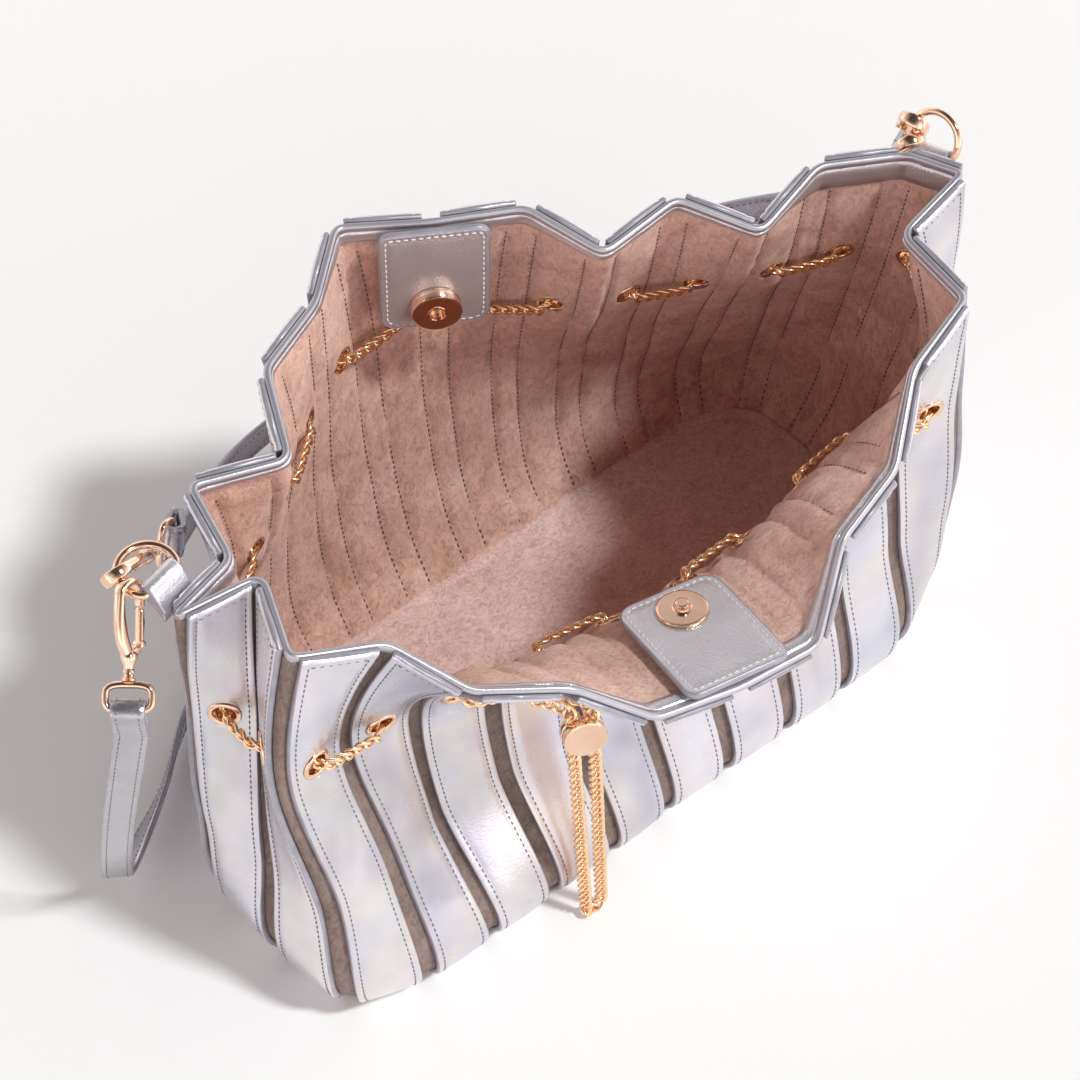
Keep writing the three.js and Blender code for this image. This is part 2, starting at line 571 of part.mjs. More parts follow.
// ---------------------------------------------------------------- straps
function strapEnd(end, towards, widthHint) {
  const run = across(towards.clone().sub(end.centre), end.bar).normalize();
  const bar = end.bar.dot(widthHint) < 0 ? end.bar.clone().negate() : end.bar.clone();
  const face = bar.clone().cross(run).normalize();
  const at = (g, m) => along(along(end.centre, run, g), face, m);
  const points = [at(STRAP.lap, -STRAP.lap_gap), at(6.5, -STRAP.loop_r * 0.75), at(2, -STRAP.loop_r)];
  for (let i = 0; i <= 4; i++) {
    const q = (i / 4) * Math.PI;
    points.push(at(-STRAP.loop_r * Math.sin(q), -STRAP.loop_r * Math.cos(q)));
  }
  points.push(at(2, STRAP.loop_r), at(6.5, STRAP.loop_r * 0.75), at(STRAP.lap, STRAP.lap_gap));
  return { points, bar };
}
function strap(name, first, last, table) {
  const way = table.map((r) => V(r[0], r[1], r[2]));
  const lie = table.map((r) => V(r[3], r[4], r[5]).normalize());
  const a = strapEnd(first, way[0], lie[0]);
  const b = strapEnd(last, way[way.length - 1], lie[lie.length - 1]);
  const tailA = a.points[a.points.length - 1];
  const tailB = b.points[b.points.length - 1];
  const curve = new THREE.CatmullRomCurve3([tailA, ...way, tailB], false, 'centripetal');
  const lies = [a.bar, ...lie, b.bar];
  const steps = 3 * (way.length + 1);
  const middle = [];
  const middleLie = [];
  for (let i = 1; i < steps; i++) {
    const k = (i / steps) * (lies.length - 1);
    const j = Math.min(Math.floor(k), lies.length - 2);
    middle.push(curve.getPoint(i / steps));
    middleLie.push(lerp(lies[j], lies[j + 1], k - j).normalize());
  }
  const points = [...a.points, ...middle, ...b.points.slice().reverse()];
  const widths = [...a.points.map(() => a.bar), ...middleLie, ...b.points.map(() => b.bar)];
  add(name, ribbon(points, widths, STRAP.width, STRAP.thick), SILVER());
}
strap('strap_long', straps[0], straps[3], STRAP_LONG);
strap('strap_short', straps[1], straps[2], STRAP_SHORT);

// ---------------------------------------------------------------- drawstring chain
const stopAt = V(STOPPER_AT.x, STOPPER_AT.y, STOPPER_AT.z);
const stopFace = V(STOPPER_FACE.x, STOPPER_FACE.y, STOPPER_FACE.z).normalize();
const stopDown = across(V(0, 0, -1), stopFace).normalize();
const stopSide = stopFace.clone().cross(stopDown).normalize();
if (stopSide.x > 0) stopSide.negate();
const stopChannel = (i) => along(stopAt, stopSide, i === 0 ? STOPPER.spread : -STOPPER.spread);

// Where the chain passes an eyelet: one point each side, leaning to the fold it crosses there.
function eyeletPass(s, outsideFirst) {
  const e = eyelet(s);
  const towards = wrap(s) % 2 === 0 ? -1 : 1;
  const outer = along(along(e.centre, e.out, CHAIN_LIFT), e.edge, towards * CHAIN_LEAN);
  const inner = along(along(e.centre, e.out, -CHAIN_LIFT), e.edge, -towards * CHAIN_LEAN);
  return outsideFirst ? [outer, inner] : [inner, outer];
}
// Between two eyelets the chain spans the fold, lifted where the fold stands proud of it.
function foldSpan(b, from, to, outside) {
  const f = foldColumns(b, 3);
  const out = f[0].out.clone().add(f[1].out).normalize();
  const sign = outside ? 1 : -1;
  const room = outside ? WALL_T / 2 + SKIN_GAP + SLAT_T + CHAIN_R + 0.5 : WALL_T / 2 + CHAIN_R + 0.5;
  const mid = lerp(from, to, 0.5);
  let lift = 0;
  for (const q of f) {
    const need = along(q.point, out, sign * room);
    lift = Math.max(lift, sign * need.sub(mid).dot(out));
  }
  return along(mid, out, sign * lift);
}
function chainHalf(slats, channel, outsideFold) {
  const step = slats[1] - slats[0];
  const points = [];
  let outside = true;
  slats.forEach((s, i) => {
    const pass = eyeletPass(s, outside);
    if (i > 0) {
      const fold = step > 0 ? s : s + 1;
      points.push(foldSpan(fold, points[points.length - 1], pass[0], outside));
    }
    points.push(...pass);
    outside = !outside;
  });
  const start = foldSpan(outsideFold, points[0], eyeletPass(step > 0 ? outsideFold - 1 : outsideFold, true)[0], true);
  points.unshift(lerp(start, points[0], 0.06));
  const gate = stopChannel(channel);
  const foot = V(...TAILS[channel]);
  const last = points[points.length - 1];
  const above = along(gate, stopDown, -STOPPER.r - 4);
  if (channel === 0) for (const p of UNDER_RIM) points.push(V(...p));
  else points.push(lerp(last, above, 0.55).add(V(0, -1.5, -1)));
  points.push(above, along(gate, stopDown, STOPPER.r + 3));
  const below = points[points.length - 1];
  for (const k of [0.35, 0.7, 1]) points.push(lerp(below, foot, k));
  return points;
}
const leftSlats = [13, 12, 11, 10, 9, 8, 7, 6, 5, 4, 3, 2];
const rightSlats = [14, 15, 16, 17, 18, 19, 20, 21, 22, 23, 24, 25, 26, 27, 28, 29];
add('chain_left', tube(chainHalf(leftSlats, 0, 14), CHAIN_R, 8), GOLD());
add('chain_right', tube(chainHalf(rightSlats, 1, 14), CHAIN_R, 8), GOLD());
{
  let puck = toManifold(rod(along(stopAt, stopFace, -STOPPER.thick / 2), along(stopAt, stopFace, STOPPER.thick / 2), STOPPER.r, 20));
  for (const i of [0, 1]) {
    const c = stopChannel(i);
    puck = puck.subtract(toManifold(rod(along(c, stopDown, -12), along(c, stopDown, 12), STOPPER.hole_r, 10)));
  }
  add('chain_stopper', fromManifold(puck), GOLD());
}

export default part;
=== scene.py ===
import bpy
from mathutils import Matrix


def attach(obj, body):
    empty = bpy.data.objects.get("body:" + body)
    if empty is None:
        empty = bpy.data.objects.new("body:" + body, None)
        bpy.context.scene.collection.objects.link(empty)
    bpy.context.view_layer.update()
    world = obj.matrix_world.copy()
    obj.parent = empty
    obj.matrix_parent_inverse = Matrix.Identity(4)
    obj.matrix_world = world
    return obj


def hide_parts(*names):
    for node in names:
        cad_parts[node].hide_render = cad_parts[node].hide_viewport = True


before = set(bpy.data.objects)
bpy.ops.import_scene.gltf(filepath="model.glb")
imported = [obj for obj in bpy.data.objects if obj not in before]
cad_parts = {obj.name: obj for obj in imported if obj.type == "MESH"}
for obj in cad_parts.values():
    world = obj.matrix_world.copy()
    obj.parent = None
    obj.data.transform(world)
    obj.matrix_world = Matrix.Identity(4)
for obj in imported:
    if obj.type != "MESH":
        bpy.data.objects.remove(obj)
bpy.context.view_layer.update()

import bpy
import math
import numpy as np
from mathutils import Matrix, Vector

MM = 0.001

# ------------------------------------------------------------------ sizes, as in the part
GAP_SHARE, WALL_T, SLAT_T, SKIN_GAP = 0.2, 1.6, 2.0, 0.55
FOOT_Z, FOOT_INSET = 9.7, 7.5
SLAT_START, SLAT_END = 0.40, 4.036
BINDING_R = 1.7
FACING_T = 0.9
CHAIN_R, CHAIN_LIFT, CHAIN_LEAN = 2.1, 5.6, 2.0
EYELET_HOLE_R = 4.7
TAB = dict(width=39.0, length=45.0, thick=2.6, corner=9.0, lift=4.2, snap_at=32.0)
STOPPER = dict(r=7.8, thick=7.4, spread=3.7)
RING = dict(arc_r=9.8, chord=6.0, wire_r=1.35)
RING_TAB = dict(width=10.5, roll_r=3.4, bore_r=1.8, tongue=12.0, thick=1.8, gap=0.9)
HOOK = dict(eye_r=4.6, wire_r=1.5, tip=3.2, spine=15.5, foot=18.6, barrel_r=2.7, barrel_end=26.5, play=0.8)
GATE = dict(top=3.7, bottom=16.3, pivot=15.4, r=1.05)
EYE = dict(half_w=7.4, half_h=4.2, wire_r=1.2)
STRAP = dict(width=11.0, thick=2.0, loop_r=3.0, lap=13.0, lap_gap=1.25)

FOLDS = np.array([
    [-8, -67, -8.5, -49.5, 73.5, -10, -53.5, 139, -16.5, -105.5, 163.5],
    [-34.5, -68, -37, -49.5, 73, -38.5, -49, 138.5, -47, -99, 167],
    [-62, -68, -64.5, -43, 71.5, -67.5, -42.5, 138, -68, -80.5, 182.5],
    [-89.5, -67.5, -94, -39.5, 70.5, -94.5, -32.5, 137, -95, -64, 186.5],
    [-117.5, -67, -120, -50.5, 74.5, -122.5, -29, 139, -109, -38.5, 195.5],
    [-144, -58.5, -147, -53, 77.5, -150.5, -34, 144, -138.5, -27.5, 202],
    [-150, -30, -149.5, -24, 77, -137, -9, 142.5, -127, 3, 200.5],
    [-151, -1.5, -159.5, 3.5, 76, -156.5, 10.5, 142.5, -160, 7, 201.5],
    [-139.5, 24, -140.5, 25, 76, -128.5, 18, 141.5, -131, 14.5, 200.5],
    [-128, 49.5, -126.5, 50, 76.5, -117.5, 44.5, 142, -125, 46, 200],
    [-103, 61, -101.5, 63.5, 76.5, -90, 50, 141, -93, 36, 198],
    [-76, 69, -76, 76.5, 76.5, -71, 70, 144, -80, 66.5, 203],
    [-48, 69, -49, 84, 75.5, -47, 85.5, 142.5, -50.5, 79.5, 201],
    [-20, 69, -21, 88.5, 75, -21, 97, 142.5, -26, 101, 201.5],
    [8, 69.5, 7, 87, 75.5, 6.5, 89, 143, 2, 83, 201.5],
    [36, 69.5, 34.5, 82.5, 75.5, 32.5, 76.5, 142.5, 31.5, 68.5, 201],
    [64, 70, 61.5, 76, 76, 53.5, 56.5, 139.5, 43.5, 40.5, 195.5],
    [91.5, 70, 89.5, 69.5, 76.5, 81, 51.5, 140.5, 76, 41.5, 199],
    [120, 69.5, 116, 59, 76, 103, 35, 138, 93.5, 16, 193.5],
    [145, 57, 141.5, 47, 76, 129.5, 28.5, 140, 124.5, 22.5, 199],
    [150.5, 29.5, 157.5, 24, 75.5, 154, 14.5, 140.5, 153, 7.5, 198.5],
    [149, 1, 159, -5, 76.5, 163.5, -12, 144, 159, -14.5, 205],
    [139, -25.5, 147, -31.5, 76.5, 139.5, -27, 143, 127, -20, 201],
    [128, -51.5, 135, -58.5, 76.5, 131.5, -54, 144, 125, -53.5, 202.5],
    [105, -67.5, 106, -57, 76, 104, -48, 143, 93.5, -62.5, 199],
    [76.5, -68, 77.5, -57, 75.5, 75, -47.5, 141, 68.5, -83, 186],
    [48.5, -68, 48.5, -58, 75, 47, -52.5, 140.5, 38, -91.5, 183],
    [20.5, -67.5, 20.5, -52.5, 74, 19, -56, 139, 14.5, -108.5, 162],
], dtype=float)
N = len(FOLDS)
TABS = [("front", 0, 2.0, True), ("back", 14, 12.0, False)]
RINGS = [("left", 7, 0.31, 10.7, 3.0, 0.0), ("right", 20, 0.2, 7.6, -5.0, 62.0)]
HOOKS = [
    ("left_front", 0, 98, (-0.52, -0.65, -0.55), (0.78, -0.62, 0.0), 200),
    ("left_back", 0, 50, (0.75, 0.33, -0.57), (0.25, 0.3, 1.0), 0),
    ("right_front", 1, 114, (-0.1, 0.42, -0.9), (0.1, 0.3, 1.0), 0),
    ("right_back", 1, 70, (0.4, 0.35, -0.85), (0.75, 0.3, 0.1), 0),
]
STRAP_LONG = np.array([
    [-188, 0, 140, 0.78, -0.62, 0], [-190, 8, 95, 0.78, -0.62, 0], [-189, 18, 50, 0.78, -0.62, 0.05],
    [-184, 28, 20, 0.75, -0.6, 0.25], [-170, 39, 8.5, 0.5, -0.5, 0.7], [-150, 52, 7.5, 0.2, -0.3, 0.95],
    [-126, 72, 7, 0, 0, 1], [-92, 91, 6.8, 0, 0, 1], [-40, 100, 6.6, 0, 0, 1], [20, 100, 6.6, 0, 0, 1],
    [80, 98, 6.8, 0, 0, 1], [126, 92, 8, -0.1, 0.05, 0.97], [154, 80, 22, -0.4, 0.25, 0.65],
    [172, 62, 62, -0.75, 0.55, 0.1], [176, 46, 118, -0.78, 0.5, 0]], dtype=float)
STRAP_SHORT = np.array([
    [-129, 56, 146, 0.2, 0.15, 1], [-112, 80, 116, 0.1, 0.2, 1], [-70, 106, 96, 0.05, 0.15, 1],
    [-20, 115, 88, 0, 0.1, 1], [30, 110, 88, 0, 0.15, 1], [80, 94, 98, -0.05, 0.2, 1],
    [118, 72, 122, -0.1, 0.25, 1]], dtype=float)
STOPPER_AT = np.array([-51.0, -70.0, 119.0])
STOPPER_FACE = np.array([-0.38, -0.885, 0.27])
UNDER_RIM = np.array([[-68, -52.5, 140.5], [-61, -58, 135]], dtype=float)
TAILS = np.array([[-54.5, -82, 4.6], [-47.5, -82, 7.0]], dtype=float)

# ------------------------------------------------------------------ camera
scene = bpy.context.scene
cam_data = bpy.data.cameras.new("photo_camera")
cam_data.sensor_width = 36.0
cam_data.lens = 103.84
cam_data.clip_start, cam_data.clip_end = 0.05, 20.0
cam = bpy.data.objects.new("photo_camera", cam_data)
scene.collection.objects.link(cam)
_fwd = Vector((0.343924, 0.405067, -0.847135))
_right = Vector((0.783810, -0.620631, 0.021453))
_up = Vector((0.517068, 0.671371, 0.530945))
_m = Matrix((_right, _up, -_fwd)).transposed().to_4x4()
_m.translation = Vector((-0.391432, -0.444265, 1.046795))
cam.matrix_world = _m
scene.camera = cam


# ------------------------------------------------------------------ small helpers
def unit(v):
    v = np.asarray(v, dtype=float)
    return v / np.maximum(np.linalg.norm(v, axis=-1, keepdims=True), 1e-9)


def across(v, axis):
    axis = unit(axis)
    return unit(np.asarray(v, float) - np.sum(np.asarray(v, float) * axis, -1, keepdims=True) * axis)


def ripple(p, size, seed):
    """A smooth ripple over points, about -1 to 1, with features about size across."""
    r = np.random.default_rng(seed)
    out = 0.0
    for _ in range(6):
        d = unit(r.normal(size=3))
        f = (0.6 + 0.9 * r.random()) * 2 * np.pi / size
        out = out + np.sin((p @ d) * f + r.random() * 6.28)
    return out / 3.0


def smooth01(x):
    x = np.clip(x, 0, 1)
    return x * x * (3 - 2 * x)


def grid(nr, nc, ring_rows=False, ring_cols=False, start=0):
    """Quads over nr rows of nc points."""
    i = np.arange(nr if ring_rows else nr - 1)
    j = np.arange(nc if ring_cols else nc - 1)
    ii, jj = np.meshgrid(i, j, indexing="ij")
    a = ii * nc + jj
    b = ((ii + 1) % nr) * nc + jj
    c = ((ii + 1) % nr) * nc + (jj + 1) % nc
    d = ii * nc + (jj + 1) % nc
    return np.stack([a, b, c, d], -1).reshape(-1, 4) + start


class Batch:
    """Several closed shells that make one piece."""

    def __init__(self):
        self.v, self.f, self.m, self.n = [], [], [], 0

    def add(self, verts, faces, mat=0):
        verts = np.asarray(verts, float).reshape(-1, 3)
        faces = [tuple(int(k) for k in f) for f in faces]
        vol = 0.0
        c = verts.mean(0)
        for f in faces:
            p = verts[list(f)] - c
            for k in range(1, len(f) - 1):
                vol += np.dot(p[0], np.cross(p[k], p[k + 1]))
        mats = [mat] * len(faces) if np.isscalar(mat) else list(mat)
        for f in faces:
            g = f if vol > 0 else f[::-1]
            self.f.append(tuple(k + self.n for k in g))
        self.v.append(verts)
        self.m.extend(mats)
        self.n += len(verts)

    def add_many(self, verts, faces, mat=0):
        """verts (count, points, 3) of one shape placed many times; faces are shared."""
        verts = np.asarray(verts, float)
        count, pts, _ = verts.shape
        c = verts[0].mean(0)
        vol = 0.0
        for f in faces:
            p = verts[0][list(f)] - c
            for k in range(1, len(f) - 1):
                vol += np.dot(p[0], np.cross(p[k], p[k + 1]))
        fs = [tuple(f) if vol > 0 else tuple(f)[::-1] for f in faces]
        for i in range(count):
            o = self.n + i * pts
            self.f.extend(tuple(k + o for k in f) for f in fs)
        self.v.append(verts.reshape(-1, 3))
        self.m.extend([mat] * (len(fs) * count))
        self.n += count * pts

    def make(self, name, mats, slot, body="bag", stands_for=(), sharp=None, cut=None):
        me = bpy.data.meshes.new(name)
        me.from_pydata((np.concatenate(self.v) * MM).tolist(), [], self.f)
        for m in mats:
            me.materials.append(m)
        me.polygons.foreach_set("material_index", np.array(self.m, dtype=np.int32))
        me.polygons.foreach_set("use_smooth", np.ones(len(me.polygons), dtype=bool))
        if sharp:
            me.set_sharp_from_angle(angle=math.radians(sharp))
        me.update()
        o = bpy.data.objects.new(name, me)
        scene.collection.objects.link(o)
        if cut is not None:
            mod = o.modifiers.new("holes", "BOOLEAN")
            mod.operation, mod.solver, mod.object = "DIFFERENCE", "EXACT", cut
            dg = bpy.context.evaluated_depsgraph_get()
            cut_me = bpy.data.meshes.new_from_object(o.evaluated_get(dg))
            o.modifiers.clear()
            o.data = cut_me
            o.data.name = name
            if sharp:
                o.data.set_sharp_from_angle(angle=math.radians(sharp))
        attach(o, body)
        if stands_for:
            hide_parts(*stands_for)
        return o


def sweep(points, frame_a, frame_b, section, closed=False):
    """Section points (k, 2), or one set for each point, carried along points."""
    points = np.asarray(points, float)
    section = np.asarray(section, float)
    if section.ndim == 2:
        section = np.broadcast_to(section, (len(points),) + section.shape)
    v = points[:, None] + section[:, :, :1] * np.asarray(frame_a)[:, None] + section[:, :, 1:] * np.asarray(frame_b)[:, None]
    n, k = v.shape[:2]
    f = [tuple(q) for q in grid(n, k, ring_rows=closed, ring_cols=True)]
    if not closed:
        f.append(tuple(range(k))[::-1])
        f.append(tuple((n - 1) * k + j for j in range(k)))
    return v.reshape(-1, 3), f


def tangents(points, closed=False):
    p = np.asarray(points, float)
    if closed:
        return unit(np.roll(p, -1, 0) - np.roll(p, 1, 0))
    t = np.empty_like(p)
    t[1:-1] = p[2:] - p[:-2]
    t[0], t[-1] = p[1] - p[0], p[-1] - p[-2]
    return unit(t)


def circle(r, n, phase=0.0):
    a = np.arange(n) / n * 2 * np.pi + phase
    return np.stack([r * np.cos(a), r * np.sin(a)], -1)


def super_section(a, b, n=16, power=0.5):
    q = np.arange(n) / n * 2 * np.pi
    c, s = np.cos(q), np.sin(q)
    return np.stack([a * np.sign(c) * np.abs(c) ** power, b * np.sign(s) * np.abs(s) ** power], -1)


def lathe(profile, centre, axis, n=32, ref=(0.3, 0.7, 0.2)):
    """A closed turned shape: profile rows are radius, height; ends on the axis are capped."""
    axis = unit(axis)
    a = across(ref, axis)
    b = np.cross(axis, a)
    q = np.arange(n) / n * 2 * np.pi
    rows = []
    for r, h in profile:
        rows.append(np.asarray(centre) + axis * h + r * (np.cos(q)[:, None] * a + np.sin(q)[:, None] * b))
    v = np.concatenate(rows)
    f = [tuple(x) for x in grid(len(profile), n, ring_cols=True)]
    f.append(tuple(range(n)))
    f.append(tuple((len(profile) - 1) * n + j for j in range(n))[::-1])
    return v, f


def lathe_ring(profile, centre, axis, n=32, ref=(0.3, 0.7, 0.2)):
    axis = unit(axis)
    a = across(ref, axis)
    b = np.cross(axis, a)
    q = np.arange(n) / n * 2 * np.pi
    rows = [np.asarray(centre) + axis * h + r * (np.cos(q)[:, None] * a + np.sin(q)[:, None] * b) for r, h in profile]
    return np.concatenate(rows), [tuple(x) for x in grid(len(profile), n, ring_rows=True, ring_cols=True)]


def catmull(points, n):
    """Centripetal curve through points, n + 1 places evenly by index."""
    p = np.asarray(points, float)
    p = np.vstack([2 * p[0] - p[1], p, 2 * p[-1] - p[-2]])
    out = []
    m = len(points) - 1
    for i in range(n + 1):
        x = i / n * m
        j = min(int(x), m - 1)
        w = x - j
        p0, p1, p2, p3 = p[j], p[j + 1], p[j + 2], p[j + 3]
        d0 = max(np.sum((p1 - p0) ** 2) ** 0.25, 1e-4)
        d1 = max(np.sum((p2 - p1) ** 2) ** 0.25, 1e-4)
        d2 = max(np.sum((p3 - p2) ** 2) ** 0.25, 1e-4)
        t1 = ((p1 - p0) / d0 - (p2 - p0) / (d0 + d1) + (p2 - p1) / d1) * d1
        t2 = ((p2 - p1) / d1 - (p3 - p1) / (d1 + d2) + (p3 - p2) / d2) * d1
        out.append((2 * w ** 3 - 3 * w ** 2 + 1) * p1 + (w ** 3 - 2 * w ** 2 + w) * t1
                   + (-2 * w ** 3 + 3 * w ** 2) * p2 + (w ** 3 - w ** 2) * t2)
    return np.array(out)


def resample(points, step=None, count=None):
    p = np.asarray(points, float)
    d = np.concatenate([[0], np.cumsum(np.linalg.norm(np.diff(p, axis=0), axis=1))])
    if count is None:
        count = max(int(round(d[-1] / step)), 1) + 1
    s = np.linspace(0, d[-1], count)
    return np.stack([np.interp(s, d, p[:, k]) for k in range(3)], -1)


# ------------------------------------------------------------------ folds
def base_at(b):
    return np.array([FOLDS[b % N, 0], FOLDS[b % N, 1], 0.0])


def base_out(b):
    t = unit(base_at(b + 1) - base_at(b - 1))
    return np.array([-t[1], t[0], 0.0])


P = np.zeros((N, 5, 3))
M = np.zeros((N, 5, 3))
D = np.zeros((N, 4))
for _b in range(N):
    r = FOLDS[_b]
    P[_b, 0] = base_at(_b) - base_out(_b) * FOOT_INSET + [0, 0, WALL_T / 2]
    P[_b, 1] = base_at(_b) + [0, 0, FOOT_Z]
    P[_b, 2], P[_b, 3], P[_b, 4] = r[2:5], r[5:8], r[8:11]
    dd = np.linalg.norm(np.diff(P[_b], axis=0), axis=1)
    sl = np.diff(P[_b], axis=0) / dd[:, None]
    D[_b] = dd
    M[_b, 0] = base_out(_b)
    for i in (1, 2, 3):
        M[_b, i] = (sl[i - 1] * dd[i] + sl[i] * dd[i - 1]) / (dd[i] + dd[i - 1])
    M[_b, 4] = 1.5 * sl[3] - 0.5 * M[_b, 3]


def fold(b, t):
    t = np.asarray(t, float)
    over = np.maximum(t - 4, 0)
    t = np.clip(t, 0, 4)
    b = np.broadcast_to(np.mod(b, N), t.shape)
    i = np.minimum(t.astype(int), 3)
    k = (t - i)[..., None]
    d = D[b, i][..., None]
    return ((2 * k ** 3 - 3 * k ** 2 + 1) * P[b, i] + (k ** 3 - 2 * k ** 2 + k) * d * M[b, i]
            + (-2 * k ** 3 + 3 * k ** 2) * P[b, i + 1] + (k ** 3 - k ** 2) * d * M[b, i + 1]
            + over[..., None] * d * M[b, 4])


def on(s, k, t):
    a, b = fold(s, t), fold(s + 1, t)
    return a + (b - a) * np.asarray(k, float)[..., None]


def slat_frame(s, k, t):
    """Point, outward normal, way along the rim and way up on slat s."""
    t = np.asarray(t, float)
    k = np.broadcast_to(np.asarray(k, float), t.shape)
    up = unit(on(s, k, np.where(t <= 4, np.minimum(t + 0.02, 4), t + 0.02)) - on(s, k, np.maximum(t - 0.02, 0)))
    edge = unit(fold(s + 1, t) - fold(s, t))
    out = unit(np.cross(up, edge))
    return on(s, k, t), out, edge, unit(np.cross(edge, out))


SLAT_TOP = WALL_T / 2 + SKIN_GAP + SLAT_T + SKIN_GAP / 2
LINING = WALL_T / 2 + SKIN_GAP / 2
FACING_TOP = WALL_T / 2 + SKIN_GAP + FACING_T + SKIN_GAP / 2


def bare_share(s, b, t, inside=LINING):
    here = fold(b, t)
    back, ahead = fold(b - 1, t) - here, fold(b + 1, t) - here
    ub, ua = unit(back), unit(ahead)
    half = np.arccos(np.clip(np.sum(ub * ua, -1), -1, 1)) / 2
    z = np.zeros_like(np.asarray(t, float))
    lean = slat_frame(b, z, t)[1] + slat_frame(b - 1, z + 1, t)[1]
    inward = np.sum(lean * (ub + ua), -1) > 0
    need = np.where(inward, SLAT_TOP, inside) / np.tan(half)
    pitch = np.linalg.norm(ahead if s % N == b % N else back, axis=-1)
    return np.minimum(np.maximum(GAP_SHARE / 2, need / pitch), 0.45)


def near(s, t, inside=LINING):
    return bare_share(s, s, t, inside)


def far(s, t, inside=LINING):
    return 1 - bare_share(s, s + 1, t, inside)


def ring_columns(t, gap_n, slat_n, inside=LINING, first=0, count=N):
    """Middle surface round the bag: points, normals, and what each column is."""
    t = np.asarray(t, float)
    pts, nrm, info = [], [], []
    for s in range(first, first + count):
        ap, an, _, _ = slat_frame(s - 1, far(s - 1, t, inside), t)
        bp, bn, _, _ = slat_frame(s, near(s, t, inside), t)
        cp, cn, _, _ = slat_frame(s, far(s, t, inside), t)
        f = fold(s, t)
        for w in np.arange(gap_n) / gap_n:
            pts.append((1 - w) ** 2 * ap + 2 * w * (1 - w) * f + w * w * bp)
            nrm.append(unit((1 - w) * an + w * bn))
            info.append((s, "gap", w))
        for w in (np.arange(slat_n) / slat_n if np.isscalar(slat_n) else slat_n):
            pts.append(bp + (cp - bp) * w)
            nrm.append(unit(bn + (cn - bn) * w))
            info.append((s, "slat", w))
    return np.stack(pts, 1), np.stack(nrm, 1), info


def eyelet(s):
    p, n, e, u = (x[0] for x in slat_frame(s % N, np.array([0.5]), np.array([3.0])))
    return dict(point=p, out=n, edge=e, up=u, centre=p + n * (SKIN_GAP + SLAT_T) / 2)


# ------------------------------------------------------------------ materials
def nodes_of(name):
    m = bpy.data.materials.new(name)
    m.use_nodes = True
    nt = m.node_tree
    nt.nodes.clear()
    out = nt.nodes.new("ShaderNodeOutputMaterial")
    bsdf = nt.nodes.new("ShaderNodeBsdfPrincipled")
    nt.links.new(bsdf.outputs[0], out.inputs[0])
    tc = nt.nodes.new("ShaderNodeTexCoord")
    return m, nt, bsdf, tc


def noise(nt, tc, scale, detail=3.0, rough=0.55, stretch=None, distort=0.0):
    n = nt.nodes.new("ShaderNodeTexNoise")
    n.inputs["Scale"].default_value = scale
    n.inputs["Detail"].default_value = detail
    n.inputs["Roughness"].default_value = rough
    n.inputs["Distortion"].default_value = distort
    if stretch:
        mp = nt.nodes.new("ShaderNodeMapping")
        mp.inputs["Scale"].default_value = stretch
        nt.links.new(tc.outputs["Object"], mp.inputs[0])
        nt.links.new(mp.outputs[0], n.inputs["Vector"])
    else:
        nt.links.new(tc.outputs["Object"], n.inputs["Vector"])
    return n.outputs["Fac"]


def cells(nt, tc, scale, feature="F1"):
    v = nt.nodes.new("ShaderNodeTexVoronoi")
    v.feature = feature
    v.inputs["Scale"].default_value = scale
    nt.links.new(tc.outputs["Object"], v.inputs["Vector"])
    return v.outputs["Distance"]


def ramp(nt, fac, stops):
    r = nt.nodes.new("ShaderNodeValToRGB")
    while len(r.color_ramp.elements) < len(stops):
        r.color_ramp.elements.new(0.5)
    for e, (pos, col) in zip(r.color_ramp.elements, stops):
        e.position = pos
        e.color = (*col, 1.0) if len(col) == 3 else col
    nt.links.new(fac, r.inputs[0])
    return r.outputs[0]


def mix(nt, fac, a, b, mode="MIX"):
    m = nt.nodes.new("ShaderNodeMix")
    m.data_type = "RGBA"
    m.blend_type = mode
    fac_in = [i for i in m.inputs if i.name == "Factor" and i.type == "VALUE"][0]
    a_in = [i for i in m.inputs if i.name == "A" and i.type == "RGBA"][0]
    b_in = [i for i in m.inputs if i.name == "B" and i.type == "RGBA"][0]
    for sock, val in ((fac_in, fac), (a_in, a), (b_in, b)):
        if hasattr(val, "is_output"):
            nt.links.new(val, sock)
        elif isinstance(val, (int, float)):
            sock.default_value = val
        else:
            sock.default_value = (*val, 1.0)
    return [o for o in m.outputs if o.type == "RGBA"][0]


def math_node(nt, op, a, b=0.0, c=None):
    m = nt.nodes.new("ShaderNodeMath")
    m.operation = op
    for i, v in enumerate((a, b) if c is None else (a, b, c)):
        if hasattr(v, "is_output"):
            nt.links.new(v, m.inputs[i])
        else:
            m.inputs[i].default_value = v
    return m.outputs[0]


def span(nt, fac, lo, hi):
    m = nt.nodes.new("ShaderNodeMapRange")
    m.inputs["To Min"].default_value = lo
    m.inputs["To Max"].default_value = hi
    nt.links.new(fac, m.inputs["Value"])
    return m.outputs[0]


def bump(nt, bsdf, height, strength, distance):
    b = nt.nodes.new("ShaderNodeBump")
    b.inputs["Strength"].default_value = strength
    b.inputs["Distance"].default_value = distance
    nt.links.new(height, b.inputs["Height"])
    nt.links.new(b.outputs[0], bsdf.inputs["Normal"])


